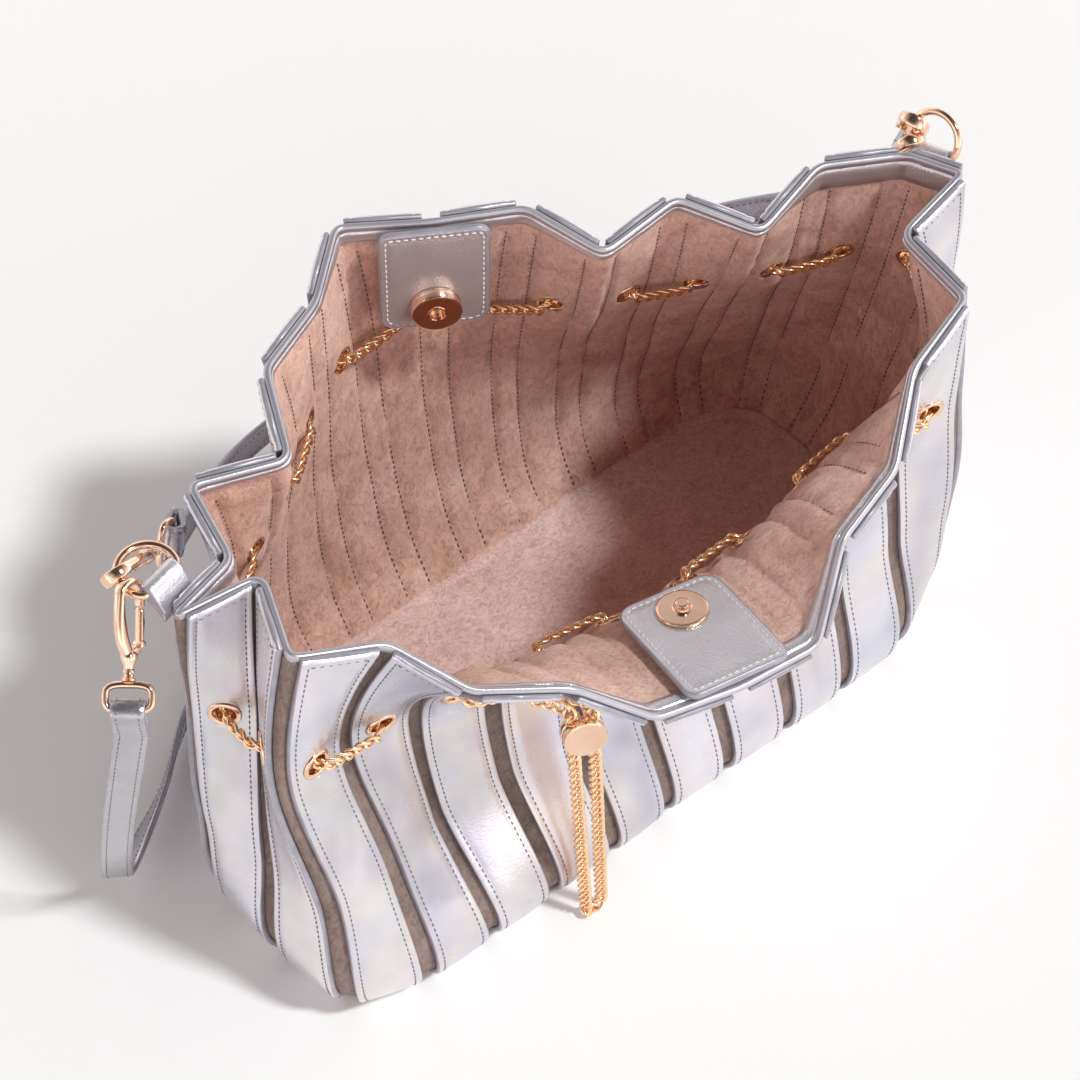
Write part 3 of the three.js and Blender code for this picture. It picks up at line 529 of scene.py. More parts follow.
def leather(name, base, dark, metallic, rough, grain=1100.0, bump_strength=0.18, tints_and_painted_reflection=True):
    m, nt, bsdf, tc = nodes_of(name)
    soft = noise(nt, tc, 34.0, 3.0)
    col = ramp(nt, soft, [(0.3, dark), (0.7, base)])
    # pearl tint patches of the leather itself, then painted reflection streaks
    if tints_and_painted_reflection:
        hue = noise(nt, tc, 15.0, 1.5, 0.5, distort=0.6)
        pearl = ramp(nt, hue, [(0.28, (0.80, 0.78, 0.92)), (0.42, (0.93, 0.92, 0.95)), (0.50, (1.0, 0.96, 0.88)),
                               (0.58, (0.97, 0.90, 0.93)), (0.70, (0.84, 0.88, 0.95))])
        col = mix(nt, 0.75, col, pearl, "MULTIPLY")
        # painted reflection: soft vertical streaks darken and lighten the leather colour, standing in for reflections
        # of darker and brighter surroundings
        painted_reflection_streaks = noise(nt, tc, 30.0, 2.0, 0.5, stretch=(1.0, 1.0, 0.38), distort=0.4)
        col = mix(nt, 1.0, col, ramp(nt, painted_reflection_streaks, [(0.30, (0.74, 0.75, 0.79)), (0.46, (0.95, 0.95, 0.96)), (0.62, (1.08, 1.07, 1.07))]), "MULTIPLY")
    nt.links.new(col, bsdf.inputs["Base Color"])
    bsdf.inputs["Metallic"].default_value = metallic
    wear = noise(nt, tc, 120.0, 4.0)
    nt.links.new(span(nt, wear, rough - 0.04, rough + 0.06), bsdf.inputs["Roughness"])
    bsdf.inputs["Coat Weight"].default_value = 0.12
    bsdf.inputs["Coat Roughness"].default_value = 0.25
    pebble = cells(nt, tc, grain, "SMOOTH_F1")
    crease = noise(nt, tc, grain * 0.6, 3.0, 0.5)
    h = math_node(nt, "ADD", math_node(nt, "MULTIPLY", pebble, 0.6), math_node(nt, "MULTIPLY", crease, 0.3))
    bump(nt, bsdf, h, bump_strength, 0.0006)
    return m


def suede(name, base, dark, light, nap=1.0):
    m, nt, bsdf, tc = nodes_of(name)
    cloud = noise(nt, tc, 42.0, 5.0, 0.62, distort=0.8)
    fibre = noise(nt, tc, 330.0, 4.0, 0.68, stretch=(1.0, 1.35, 0.55), distort=1.5)
    col = ramp(nt, cloud, [(0.30, dark), (0.52, base), (0.72, light)])
    fib = ramp(nt, fibre, [(0.34, (0.66, 0.62, 0.60)), (0.52, (1.0, 1.0, 1.0)), (0.70, (1.2, 1.18, 1.17))])
    col = mix(nt, 0.85, col, fib, "MULTIPLY")
    nt.links.new(col, bsdf.inputs["Base Color"])
    bsdf.inputs["Roughness"].default_value = 0.95
    bsdf.inputs["Specular IOR Level"].default_value = 0.12
    bsdf.inputs["Sheen Weight"].default_value = 0.35
    bsdf.inputs["Sheen Roughness"].default_value = 0.55
    bsdf.inputs["Sheen Tint"].default_value = (min(light[0] * 1.3, 1), min(light[1] * 1.3, 1), min(light[2] * 1.3, 1), 1)
    fine = noise(nt, tc, 1500.0, 2.0, 0.6)
    h = math_node(nt, "ADD", math_node(nt, "MULTIPLY", fibre, 0.8), math_node(nt, "MULTIPLY", fine, 0.4))
    h = math_node(nt, "ADD", h, math_node(nt, "MULTIPLY", cloud, 0.9))
    bump(nt, bsdf, h, 0.55 * nap, 0.0009)
    return m


def metal(name, base, dark, rough):
    m, nt, bsdf, tc = nodes_of(name)
    var = noise(nt, tc, 90.0, 3.0)
    nt.links.new(ramp(nt, var, [(0.3, dark), (0.7, base)]), bsdf.inputs["Base Color"])
    bsdf.inputs["Metallic"].default_value = 1.0
    smear = noise(nt, tc, 260.0, 4.0)
    nt.links.new(span(nt, smear, rough - 0.05, rough + 0.08), bsdf.inputs["Roughness"])
    bump(nt, bsdf, noise(nt, tc, 700.0, 2.0), 0.03, 0.0003)
    return m


def thread(name, base, dark):
    m, nt, bsdf, tc = nodes_of(name)
    ply = noise(nt, tc, 2600.0, 2.0)
    nt.links.new(ramp(nt, ply, [(0.3, dark), (0.7, base)]), bsdf.inputs["Base Color"])
    bsdf.inputs["Roughness"].default_value = 0.6
    bsdf.inputs["Sheen Weight"].default_value = 0.3
    bump(nt, bsdf, ply, 0.3, 0.0003)
    return m


def painted_edge(name, base, dark):
    m, nt, bsdf, tc = nodes_of(name)
    var = noise(nt, tc, 160.0, 4.0)
    nt.links.new(ramp(nt, var, [(0.3, dark), (0.7, base)]), bsdf.inputs["Base Color"])
    nt.links.new(span(nt, noise(nt, tc, 300.0, 2.0), 0.26, 0.42), bsdf.inputs["Roughness"])
    bsdf.inputs["Metallic"].default_value = 0.25
    bsdf.inputs["Coat Weight"].default_value = 0.25
    bump(nt, bsdf, noise(nt, tc, 420.0, 3.0), 0.12, 0.0005)
    return m


LEATHER = leather("silver_leather", (0.80, 0.79, 0.815), (0.68, 0.665, 0.70), 0.90, 0.28, bump_strength=0.17)
LEATHER_IN = leather("silver_leather_plain", (0.73, 0.715, 0.75), (0.60, 0.585, 0.62), 0.66, 0.30, grain=1300.0, bump_strength=0.34, tints_and_painted_reflection=False)
STRAP_LEATHER = leather("strap_silver_leather", (0.52, 0.505, 0.54), (0.40, 0.39, 0.42), 0.84, 0.27, grain=1300.0, bump_strength=0.24, tints_and_painted_reflection=False)
BINDING = leather("binding_leather", (0.54, 0.525, 0.565), (0.43, 0.42, 0.46), 0.62, 0.31, grain=1500.0, bump_strength=0.10, tints_and_painted_reflection=False)
EDGE = painted_edge("painted_edge", (0.38, 0.365, 0.415), (0.28, 0.27, 0.315))
TAUPE = suede("taupe_suede", (0.238, 0.180, 0.158), (0.175, 0.132, 0.114), (0.302, 0.233, 0.211))
BLUSH = suede("blush_suede", (0.76, 0.485, 0.40), (0.60, 0.36, 0.28), (0.86, 0.605, 0.52), nap=1.25)
# base panel suede: its own pinker, less saturated tone than the wall lining, also lifted brighter as painted light
# standing in for the pool of sunlight on the base
BLUSH_BASE_PAINTED_LIGHT = suede("blush_suede_base_painted_light", (0.82, 0.59, 0.545), (0.74, 0.515, 0.465), (0.88, 0.67, 0.625), nap=0.9)
GOLD = metal("rose_gold", (0.93, 0.66, 0.49), (0.86, 0.57, 0.40), 0.11)
# chain: the same rose gold with its base colour raised, a painted highlight standing in for the bright reflections the
# chain catches inside the bag
CHAIN_GOLD_PAINTED_HIGHLIGHT = metal("rose_gold_chain_painted_highlight", (1.0, 0.71, 0.45), (0.92, 0.60, 0.35), 0.19)
THREAD_DARK = thread("thread_dark", (0.20, 0.20, 0.26), (0.12, 0.12, 0.16))
THREAD_BROWN = thread("thread_brown", (0.15, 0.09, 0.07), (0.08, 0.045, 0.037))
THREAD_PALE = thread("thread_pale", (0.84, 0.83, 0.86), (0.68, 0.67, 0.71))

# ------------------------------------------------------------------ hole cutters
cutters = Batch()
for s in range(N):
    e = eyelet(s)
    v, f = lathe([(EYELET_HOLE_R, -9), (EYELET_HOLE_R, 9)], e["centre"], e["out"], 24)
    cutters.add(v, f)
_me = bpy.data.meshes.new("eyelet_holes")
_me.from_pydata((np.concatenate(cutters.v) * MM).tolist(), [], cutters.f)
CUT = bpy.data.objects.new("eyelet_holes", _me)
scene.collection.objects.link(CUT)

# ------------------------------------------------------------------ body and lining
STITCH_IN = 2.7     # stitch line in from a slat's edge


def stitch_dip(info, widths, t):
    """How far each column is from the nearest stitch line, in mm."""
    dist = np.zeros((len(t), len(info)))
    for j, (s, kind, w) in enumerate(info):
        wid = widths[s % N]
        if kind == "slat":
            x = w * wid
            dist[:, j] = np.minimum(np.abs(x - STITCH_IN), np.abs(wid - x - STITCH_IN))
        else:
            dist[:, j] = STITCH_IN + 5.6 * np.minimum(w, 1 - w)
    return dist


rows_t = np.concatenate([np.linspace(0, 1, 13)[:-1], np.linspace(1, 2.4, 17)[:-1], np.linspace(2.4, 4.0, 32)])
slat_widths = {}
for s in range(N):
    tt = rows_t
    slat_widths[s] = np.linalg.norm(fold(s + 1, tt) - fold(s, tt), axis=1) * (far(s, tt) - near(s, tt))
SLAT_COLS = np.array([0.0, 0.05, 0.09, 0.115, 0.14, 0.19, 0.28, 0.39, 0.5, 0.61, 0.72, 0.81, 0.86, 0.885, 0.91, 0.95])
pts, nrm, info = ring_columns(rows_t, 5, SLAT_COLS)
dist = stitch_dip(info, slat_widths, rows_t)
puff = 1.15 * (1 - np.exp(-(dist / 1.7) ** 2)) - 0.25
waist = np.exp(-((rows_t - 2.86) / 0.34) ** 2)[:, None]
roll_low = np.exp(-((rows_t - 2.64) / 0.19) ** 2)[:, None]
roll_high = np.exp(-((rows_t - 3.33) / 0.17) ** 2)[:, None]
ends = (smooth01((3.97 - rows_t) / 0.3) * smooth01(rows_t / 0.25))[:, None]
# gathered by the chain, the panels swell inwards at the waist, most of all along the front
front = np.array([max(0.0, 1 - abs(((s + 0.5 + 14) % 28 - 14) - 0.5) / 5.5) for s, _, _ in info])[None]
swell = np.array([math.sin(math.pi * w) if kind == "slat" else 0.0 for _, kind, w in info])[None]
uneven = 0.75 + 0.35 * ripple(pts, 46.0, 15)
wr = (waist * 0.35 * swell + front * swell * uneven * (4.6 * roll_low + 2.6 * roll_high) + waist * (0.55 + 0.5 * front) * ripple(pts, 13.0, 11) + 0.42 * ripple(pts, 44.0, 12)
      + 0.26 * ripple(pts, 17.0, 13) + 0.16 * ripple(pts * [1, 1, 0.45], 8.0, 14)) * ends
lin = np.clip(WALL_T / 2 + puff * ends + wr, 0.35, 7.0)
gap_sag = np.array([0.5 * math.sin(math.pi * w) if kind == "gap" else 0.0 for _, kind, w in info])[None]
outer = pts + nrm * (WALL_T / 2 - gap_sag)[..., None]
inner = pts - nrm * lin[..., None]
nT, nC = pts.shape[:2]
wall_v = np.concatenate([outer, inner[::-1]], 0)
wall_f = grid(2 * nT, nC, ring_rows=True, ring_cols=True)
row_of = wall_f[:, 0] // nC
wall_m = np.where((row_of >= nT - 1) & (row_of < 2 * nT - 1), 1, 0)
b = Batch()
b.add(wall_v.reshape(-1, 3), wall_f, list(wall_m))
b.make("suede_body", [TAUPE, BLUSH], "suede_body", stands_for=("body",), cut=CUT)

# ------------------------------------------------------------------ slats and their stitches
low = WALL_T / 2 + 0.15
high = WALL_T / 2 + SKIN_GAP + SLAT_T


def slat_top(s, k, t):
    """Height of a slat's face above the middle surface."""
    p, n, e, u = slat_frame(s, k, t)
    ey = eyelet(s)
    r2 = np.sum((p - ey["point"]) ** 2, -1)
    return high + 0.12 * ripple(p, 38.0, 21) - 0.55 * np.exp(-r2 / 60.0)


slat_rows = np.concatenate([[SLAT_START], SLAT_START + np.array([0.006, 0.018]), np.linspace(0.45, 1.05, 14), np.linspace(1.05, 3.0, 30)[1:],
                            np.linspace(3.0, 4.0, 24)[1:], SLAT_END - np.array([0.018, 0.006, 0.0])])
ease = np.ones(len(slat_rows))
ease[[0, -1]] = 0.0
ease[[1, -2]] = 0.72
groups = {"front": range(24, 32), "left": range(4, 9), "back": range(9, 19), "right": range(19, 24)}
stitch_sets = {"dark": [], "brown": [], "pale": [], "strap": []}


def stitch_run(points, normals, pitch, length, radius, key):
    p = resample(points, step=0.4)
    nn = resample(normals, count=len(p))
    d = np.concatenate([[0], np.cumsum(np.linalg.norm(np.diff(p, axis=0), axis=1))])
    count = int(d[-1] // pitch)
    if count < 1:
        return
    at = (np.arange(count) + 0.5) * d[-1] / count
    for x in at:
        c = np.array([np.interp(x, d, p[:, k]) for k in range(3)])
        a = np.array([np.interp(x - length / 2, d, p[:, k]) for k in range(3)])
        z = np.array([np.interp(x + length / 2, d, p[:, k]) for k in range(3)])
        n = unit(np.array([np.interp(x, d, nn[:, k]) for k in range(3)]))
        way = unit(z - a)
        n = across(n, way)
        stitch_sets[key].append((c, way, n, length / 2, radius))


for gname, members in groups.items():
    b = Batch()
    names = []
    for s0 in members:
        s = s0 % N
        names.append("slat_%02d" % (s + 1))
        t = slat_rows
        ka, kb = near(s, t), far(s, t)
        pitch = np.linalg.norm(fold(s + 1, t) - fold(s, t), axis=1)
        width = pitch * (kb - ka)
        prof = [(0.35, "L"), (0.0, "l"), (0.0, "h"), (0.22, "g"), (0.7, "t"), (1.8, "t"), (STITCH_IN, "d"), (3.6, "t"), (6.0, "t")]
        left = [(x, k) for x, k in prof]
        cols = [("L", x, k) for x, k in left] + [("M", q, "c") for q in (0.38, 0.5, 0.62)] + [("R", x, k) for x, k in left[::-1]]
        grid_pts = []
        kinds = []
        for side, x, k in cols:
            if side == "L":
                frac = np.minimum(x / width, 0.46)
            elif side == "R":
                frac = 1 - np.minimum(x / width, 0.46)
            else:
                frac = np.full(len(t), x)
            kk = ka + (kb - ka) * frac
            p, n, e, u = slat_frame(s, kk, t)
            ea, eb = slat_frame(s, ka, t)[1], slat_frame(s, kb, t)[1]
            n = unit(ea + (eb - ea) * frac[:, None])
            top = slat_top(s, kk, t)
            dome = 0.28 * np.sin(np.pi * frac)
            if k == "L":
                h = np.full(len(t), low)
            elif k == "l":
                h = np.full(len(t), low + 0.35)
            elif k == "h":
                h = top - 0.62
            elif k == "g":
                h = top - 0.16
            elif k == "d":
                h = top - 0.28
            else:
                h = top + dome
            h = low + (h - low) * (0.62 + 0.38 * ease)
            q = p + n * h[:, None]
            q[:, 2] = np.maximum(q[:, 2], 0.15)
            grid_pts.append(q)
            kinds.append(k)
        g = np.stack(grid_pts, 1)
        nr, nc = g.shape[:2]
        f = grid(nr, nc, ring_cols=True)
        colj = f[:, 0] % nc
        edge_cols = {0, 1, 2, nc - 4, nc - 3, nc - 2, nc - 1}
        mats = [1 if int(c) in edge_cols else 0 for c in colj]
        fl = [tuple(q) for q in f]
        fl.append(tuple(range(nc)))
        fl.append(tuple((nr - 1) * nc + j for j in range(nc))[::-1])
        mats += [1, 1]
        b.add(g.reshape(-1, 3), fl, mats)
        # stitch lines: both sides and across the top, and their lower turns in the lining
        ts = np.linspace(0.62, 3.985, 120)
        for side in (0, 1):
            wa, wb = near(s, ts), far(s, ts)
            pw = np.linalg.norm(fold(s + 1, ts) - fold(s, ts), axis=1) * (wb - wa)
            fr = STITCH_IN / pw if side == 0 else 1 - STITCH_IN / pw
            kk = wa + (wb - wa) * fr
            p, n, e, u = slat_frame(s, kk, ts)
            stitch_run(p + n * (slat_top(s, kk, ts) - 0.10)[:, None], n, 2.6, 1.75, 0.28, "dark")
            ti = np.linspace(0.45, 2.9 if s in (26, 27, 0, 1, 2) else 3.80, 120)
            wa, wb = near(s, ti), far(s, ti)
            pw = np.linalg.norm(fold(s + 1, ti) - fold(s, ti), axis=1) * (wb - wa)
            fr = STITCH_IN / pw if side == 0 else 1 - STITCH_IN / pw
            kk = wa + (wb - wa) * fr
            p, n, e, u = slat_frame(s, kk, ti)
            stitch_run(p - n * (WALL_T / 2 + 0.10), -n, 2.9, 1.9, 0.24, "brown")
        tt = np.full(40, 3.99)
        wa, wb = near(s, tt), far(s, tt)
        pw = np.linalg.norm(fold(s + 1, tt) - fold(s, tt), axis=1) * (wb - wa)
        fr = np.linspace(0, 1, 40) * (1 - 2 * STITCH_IN / pw) + STITCH_IN / pw
        kk = wa + (wb - wa) * fr
        p, n, e, u = slat_frame(s, kk, tt)
        stitch_run(p + n * (slat_top(s, kk, tt) + 0.12)[:, None], n, 2.6, 1.75, 0.28, "dark")
    b.make("slats_" + gname, [LEATHER, EDGE], "silver_leather", stands_for=tuple(names), cut=CUT)


def stitch_mesh(items):
    xs = np.array([-1.0, -0.72, 0.0, 0.72, 1.0])
    rr = np.array([0.0, 0.82, 1.0, 0.82, 0.0])
    dz = np.array([-0.75, -0.15, 0.1, -0.15, -0.75])
    tv = [(-1.0, 0.0, -0.75)]
    for i in (1, 2, 3):
        for a in np.arange(6) / 6 * 2 * np.pi:
            tv.append((xs[i], rr[i] * math.cos(a), dz[i] + rr[i] * math.sin(a)))
    tv.append((1.0, 0.0, -0.75))
    tv = np.array(tv)
    tf = []
    for j in range(6):
        k = (j + 1) % 6
        tf.append((0, 1 + k, 1 + j))
        for i in (0, 1):
            tf.append((1 + i * 6 + j, 1 + i * 6 + k, 1 + (i + 1) * 6 + k, 1 + (i + 1) * 6 + j))
        tf.append((13 + j, 13 + k, 19))
    c = np.array([i[0] for i in items])
    w = np.array([i[1] for i in items])
    n = np.array([i[2] for i in items])
    h = np.array([i[3] for i in items])[:, None, None]
    r = np.array([i[4] for i in items])[:, None, None]
    sd = np.cross(n, w)
    v = c[:, None] + tv[None, :, :1] * h * w[:, None] + tv[None, :, 1:2] * r * sd[:, None] + tv[None, :, 2:] * r * n[:, None]
    return v, tf


# ------------------------------------------------------------------ rim binding
tr = np.array([4.0])
per = []
for s in range(N):
    A = [x[0] for x in slat_frame(s - 1, far(s - 1, tr), tr)]
    B = [x[0] for x in slat_frame(s, near(s, tr), tr)]
    C = [x[0] for x in slat_frame(s, far(s, tr), tr)]
    F = fold(s, tr)[0]
    for w in np.arange(8) / 8:
        p = (1 - w) ** 2 * A[0] + 2 * w * (1 - w) * F + w * w * B[0]
        per.append((p, unit(A[1] * (1 - w) + B[1] * w), unit(A[3] * (1 - w) + B[3] * w)))
    for w in np.arange(5) / 5:
        per.append((B[0] + (C[0] - B[0]) * w, unit(B[1] + (C[1] - B[1]) * w), unit(B[3] + (C[3] - B[3]) * w)))
rp = np.array([x[0] for x in per])
rn = np.array([x[1] for x in per])
ru = np.array([x[2] for x in per])
ring_d = np.concatenate([[0], np.cumsum(np.linalg.norm(np.diff(np.vstack([rp, rp[:1]]), axis=0), axis=1))])
ring_s = np.arange(int(ring_d[-1])) / int(ring_d[-1]) * ring_d[-1]


def even(a):
    return np.stack([np.interp(ring_s, ring_d, np.append(a[:, k], a[0, k])) for k in range(3)], -1)


rp, rn, ru = even(rp), even(rn), even(ru)
for _ in range(5):
    rp = (np.roll(rp, 1, 0) + 2 * rp + np.roll(rp, -1, 0)) / 4
for _ in range(8):
    rn = (np.roll(rn, 1, 0) + 2 * rn + np.roll(rn, -1, 0)) / 4
    ru = (np.roll(ru, 1, 0) + 2 * ru + np.roll(ru, -1, 0)) / 4
way = tangents(rp, closed=True)
rn = across(rn, way)
ru = unit(np.cross(way, rn)) * np.sign(np.sum(np.cross(way, rn) * ru, -1, keepdims=True))
sec = []
for a in np.arange(14) / 14 * 2 * np.pi:
    x, y = 1.36 * math.copysign(abs(math.cos(a)) ** 0.75, math.cos(a)), 1.35 * math.sin(a)
    if math.sin(a) < -0.2:
        y *= 2.6
    sec.append((x, y))
v, f = sweep(rp + ru * 0.95 - rn * 0.44, rn, ru, np.array(sec), closed=True)
b = Batch()
b.add(v, f)
b.make("rim_roll", [BINDING], "silver_leather", stands_for=("rim_binding",))

# ------------------------------------------------------------------ facing patches inside the rim
facing = Batch()
ft = np.linspace(3.70, 4.0, 13)
fp, fn, finfo = ring_columns(ft, 6, 6, inside=FACING_TOP)
place = np.array([(s - 0.25 + 0.5 * w) if kind == "gap" else (s + 0.2 + 0.6 * w) for s, kind, w in finfo])
deep = np.full(len(place), 3.4)
for mid_, half_, d_ in ((20.2, 1.9, 12.5), (7.4, 1.5, 9.0), (14.0, 2.3, 6.2), (28.0, 1.7, 5.0), (0.0, 1.4, 5.0)):
    deep += (d_ - 3.4) * smooth01((half_ - np.abs(place - mid_)) / 0.6)
t_top = 3.992
loop_p, loop_n = [], []
for k_ in (0.0, 0.3, 0.65, 1.0):
    t_here = t_top - k_ * deep / 62.0
    x_ = (t_here - ft[0]) / (ft[1] - ft[0])
    i_ = np.clip(x_.astype(int), 0, len(ft) - 2)
    w_ = (x_ - i_)[:, None]
    c_ = np.arange(len(place))
    loop_p.append(fp[i_, c_] * (1 - w_) + fp[i_ + 1, c_] * w_)
    loop_n.append(unit(fn[i_, c_] * (1 - w_) + fn[i_ + 1, c_] * w_))
back_ = [p_ - n_ * 1.0 for p_, n_ in zip(loop_p, loop_n)]
face_ = [p_ - n_ * h_ for p_, n_, h_ in zip(loop_p, loop_n, (1.75, 2.1, 2.15, 1.75))]
loop = np.stack(back_ + face_[::-1], 1)
loop += 0.14 * ripple(loop, 7.0, 51)[..., None] * np.stack(loop_n + loop_n[::-1], 1)
nr, nc = loop.shape[:2]
facing.add(loop.reshape(-1, 3), grid(nr, nc, ring_rows=True, ring_cols=True))
facing.make("rim_facing_leather", [LEATHER_IN], "silver_leather", stands_for=("rim_facing",))

# ------------------------------------------------------------------ base panel
NB = 168
outline = []
for b_ in range(N):
    for w in np.arange(6) / 6:
        outline.append(base_at(b_) * (1 - w) + base_at(b_ + 1) * w)
outline = np.array(outline)
for _ in range(6):
    outline = (np.roll(outline, 1, 0) + 2 * outline + np.roll(outline, -1, 0)) / 4
on_t = tangents(outline, closed=True)
on_n = np.stack([-on_t[:, 1], on_t[:, 0], 0 * on_t[:, 0]], -1)
prof = [(9.6, 0.12), (9.0, 0.3), (8.8, 1.6), (7.0, 2.2), (5.4, 2.35), (4.9, 2.75), (5.1, 3.2), (5.8, 3.5), (7.6, 3.62), (8.9, 3.45), (10.2, 3.62), (16.0, 3.75), (26.0, 3.7), (38.0, 3.6)]
rows = []
for ins, z in prof:
    r_ = outline - on_n * ins
    r_[:, 2] = z
    rows.append(r_)
last = rows[10]
rows = rows[:11]
spine_ = np.stack([np.clip(last[:, 0], -78, 78), np.full(len(last), 1.0), last[:, 2]], -1)
for k in (0.12, 0.3, 0.5, 0.72, 0.93):
    r_ = last + (spine_ - last) * k
    r_[:, 2] = 3.72
    rows.append(r_)
g = np.array(rows)
g[..., 2] += np.where(g[..., 2] > 3.4, 0.22 * ripple(g, 60.0, 31), 0)
nr, nc = g.shape[:2]
f = [tuple(q) for q in grid(nr, nc, ring_cols=True)]
mats = [0] * len(f)
f.append(tuple(range(nc)))
f.append(tuple((nr - 1) * nc + j for j in range(nc))[::-1])
mats += [1, 0]
bp_ = Batch()
bp_.add(g.reshape(-1, 3), f, mats)
bp_.make("base_lining", [BLUSH_BASE_PAINTED_LIGHT, TAUPE], "suede_lining", stands_for=("base_panel",))
line = outline - on_n * 8.9
line[:, 2] = 3.52
stitch_run(np.vstack([line, line[:1]]), np.tile([0, 0, 1.0], (len(line) + 1, 1)), 3.6, 2.5, 0.33, "pale")

# ------------------------------------------------------------------ eyelets
eyelets = Batch()
prof_o = []
for a in np.linspace(0, np.pi, 8):
    prof_o.append((4.95 + 1.05 * math.cos(a), high + 0.05 + 0.85 * math.sin(a)))
prof_i = []
for a in np.linspace(0, np.pi, 7):
    prof_i.append((4.85 - 0.95 * math.cos(a), -(WALL_T / 2 + 0.5) - 0.75 * math.sin(a)))
ring_prof = prof_o + [(3.88, high - 0.5), (3.85, 0.5), (3.9, -(WALL_T / 2 + 0.3))] + prof_i + [(4.6, -(WALL_T / 2 + 0.35)), (4.45, 0.0), (4.5, high - 0.2), (5.6, high - 0.12)]
for s in range(N):
    e = eyelet(s)
    v, f = lathe_ring(ring_prof, e["point"], e["out"], 28, ref=e["edge"])
    eyelets.add(v, f)
eyelets.make("eyelets", [GOLD], "rose_gold", sharp=50)

# ------------------------------------------------------------------ chain
stop_face = unit(STOPPER_FACE)
stop_down = across((0, 0, -1.0), stop_face)
stop_side = unit(np.cross(stop_face, stop_down))
if stop_side[0] > 0:
    stop_side = -stop_side


def stop_channel(i):
    return STOPPER_AT + stop_side * (STOPPER["spread"] if i == 0 else -STOPPER["spread"])


def eyelet_pass(s, outside_first):
    e = eyelet(s)
    to = -1 if (s % N) % 2 == 0 else 1
    o = e["centre"] + e["out"] * CHAIN_LIFT + e["edge"] * to * CHAIN_LEAN
    i = e["centre"] - e["out"] * CHAIN_LIFT - e["edge"] * to * CHAIN_LEAN
    return [o, i] if outside_first else [i, o]


def fold_span(b, p0, p1, outside):
    t1 = np.array([3.0])
    fa = [x[0] for x in slat_frame(b - 1, far(b - 1, t1), t1)]
    fb = [x[0] for x in slat_frame(b, near(b, t1), t1)]
    out = unit(fa[1] + fb[1])
    sign = 1 if outside else -1
    room = (WALL_T / 2 + SKIN_GAP + SLAT_T if outside else WALL_T / 2) + CHAIN_R + 0.5
    m_ = (p0 + p1) / 2
    lift = 0.0
    for q in (fa, fb):
        lift = max(lift, sign * float(np.dot(q[0] + out * sign * room - m_, out)))
    return m_ + out * sign * lift


def span_out(b):
    t1 = np.array([3.0])
    return unit(slat_frame(b - 1, far(b - 1, t1), t1)[1][0] + slat_frame(b, near(b, t1), t1)[1][0])


def chain_half(slats, channel, start_fold):
    """Way points of half the chain, and the way the flat of the links faces at each."""
    step = slats[1] - slats[0]
    pts_, flat_n = [], []
    outside = True
    for i, s in enumerate(slats):
        ps = eyelet_pass(s, outside)
        if i > 0:
            b_ = s if step > 0 else s + 1
            pts_.append(fold_span(b_, pts_[-1], ps[0], outside))
            flat_n.append(span_out(b_))
        pts_.extend(ps)
        flat_n += [eyelet(s)["out"]] * 2
        outside = not outside
    other = start_fold - 1 if step > 0 else start_fold
    pts_.insert(0, fold_span(start_fold, pts_[0], eyelet_pass(other, True)[0], True))
    flat_n.insert(0, span_out(start_fold))
    gate = stop_channel(channel)
    foot = TAILS[channel]
    above = gate - stop_down * (STOPPER["r"] + 4)
    below = gate + stop_down * (STOPPER["r"] + 3)
    on_way = list(UNDER_RIM) if channel == 0 else [pts_[-1] * 0.45 + above * 0.55 + [0, -1.5, -1]]
    pts_ += on_way + [above, below] + [below + (foot - below) * k for k in (0.35, 0.7, 1.0)]
    flat_n += [stop_face] * (5 + len(on_way))
    return np.array(pts_), np.array(flat_n)


half_l, flat_l = chain_half(list(range(13, 1, -1)), 0, 14)
half_r, flat_r = chain_half(list(range(14, 30)), 1, 14)
bridge = np.array([(TAILS[0] * 0.75 + TAILS[1] * 0.25) + [0, -0.4, -1.6], (TAILS[0] * 0.25 + TAILS[1] * 0.75) + [0, -0.4, -2.6]])
route = np.vstack([half_l[1:][::-1], half_l[:1], half_r[1:]])
facing_way = np.vstack([flat_l[1:][::-1], flat_l[:1], flat_r[1:]])


def rounded(points, k=0.28):
    """Corners of a route eased a little, so links lie along it."""
    p = np.asarray(points, float)
    out = [p[0]]
    for i in range(1, len(p) - 1):
        a = p[i] + (p[i - 1] - p[i]) * k
        z = p[i] + (p[i + 1] - p[i]) * k
        for w in (0.0, 0.25, 0.5, 0.75, 1.0):
            out.append((1 - w) ** 2 * a + 2 * w * (1 - w) * p[i] + w * w * z)
    out.append(p[-1])
    return np.array(out)


path, turn_n = rounded(route), rounded(facing_way)
path = np.vstack([path, bridge[::-1], path[:1]])
turn_n = np.vstack([turn_n, [stop_face] * 3])
LINK_PITCH, LINK_L, LINK_W, LINK_R = 4.0, 5.9, 3.9, 0.66
total = np.sum(np.linalg.norm(np.diff(path, axis=0), axis=1))
count = int(round(total / LINK_PITCH))
along_ = np.concatenate([[0], np.cumsum(np.linalg.norm(np.diff(path, axis=0), axis=1))])
dense = resample(path, count=count * 8 + 1)
link_n = np.stack([np.interp((np.arange(count) + 0.5) * along_[-1] / count, along_, turn_n[:, k]) for k in range(3)], -1)
centres = dense[4::8][:count]
dirs = unit(dense[np.minimum(np.arange(count) * 8 + 7, len(dense) - 1)] - dense[np.arange(count) * 8 + 1])
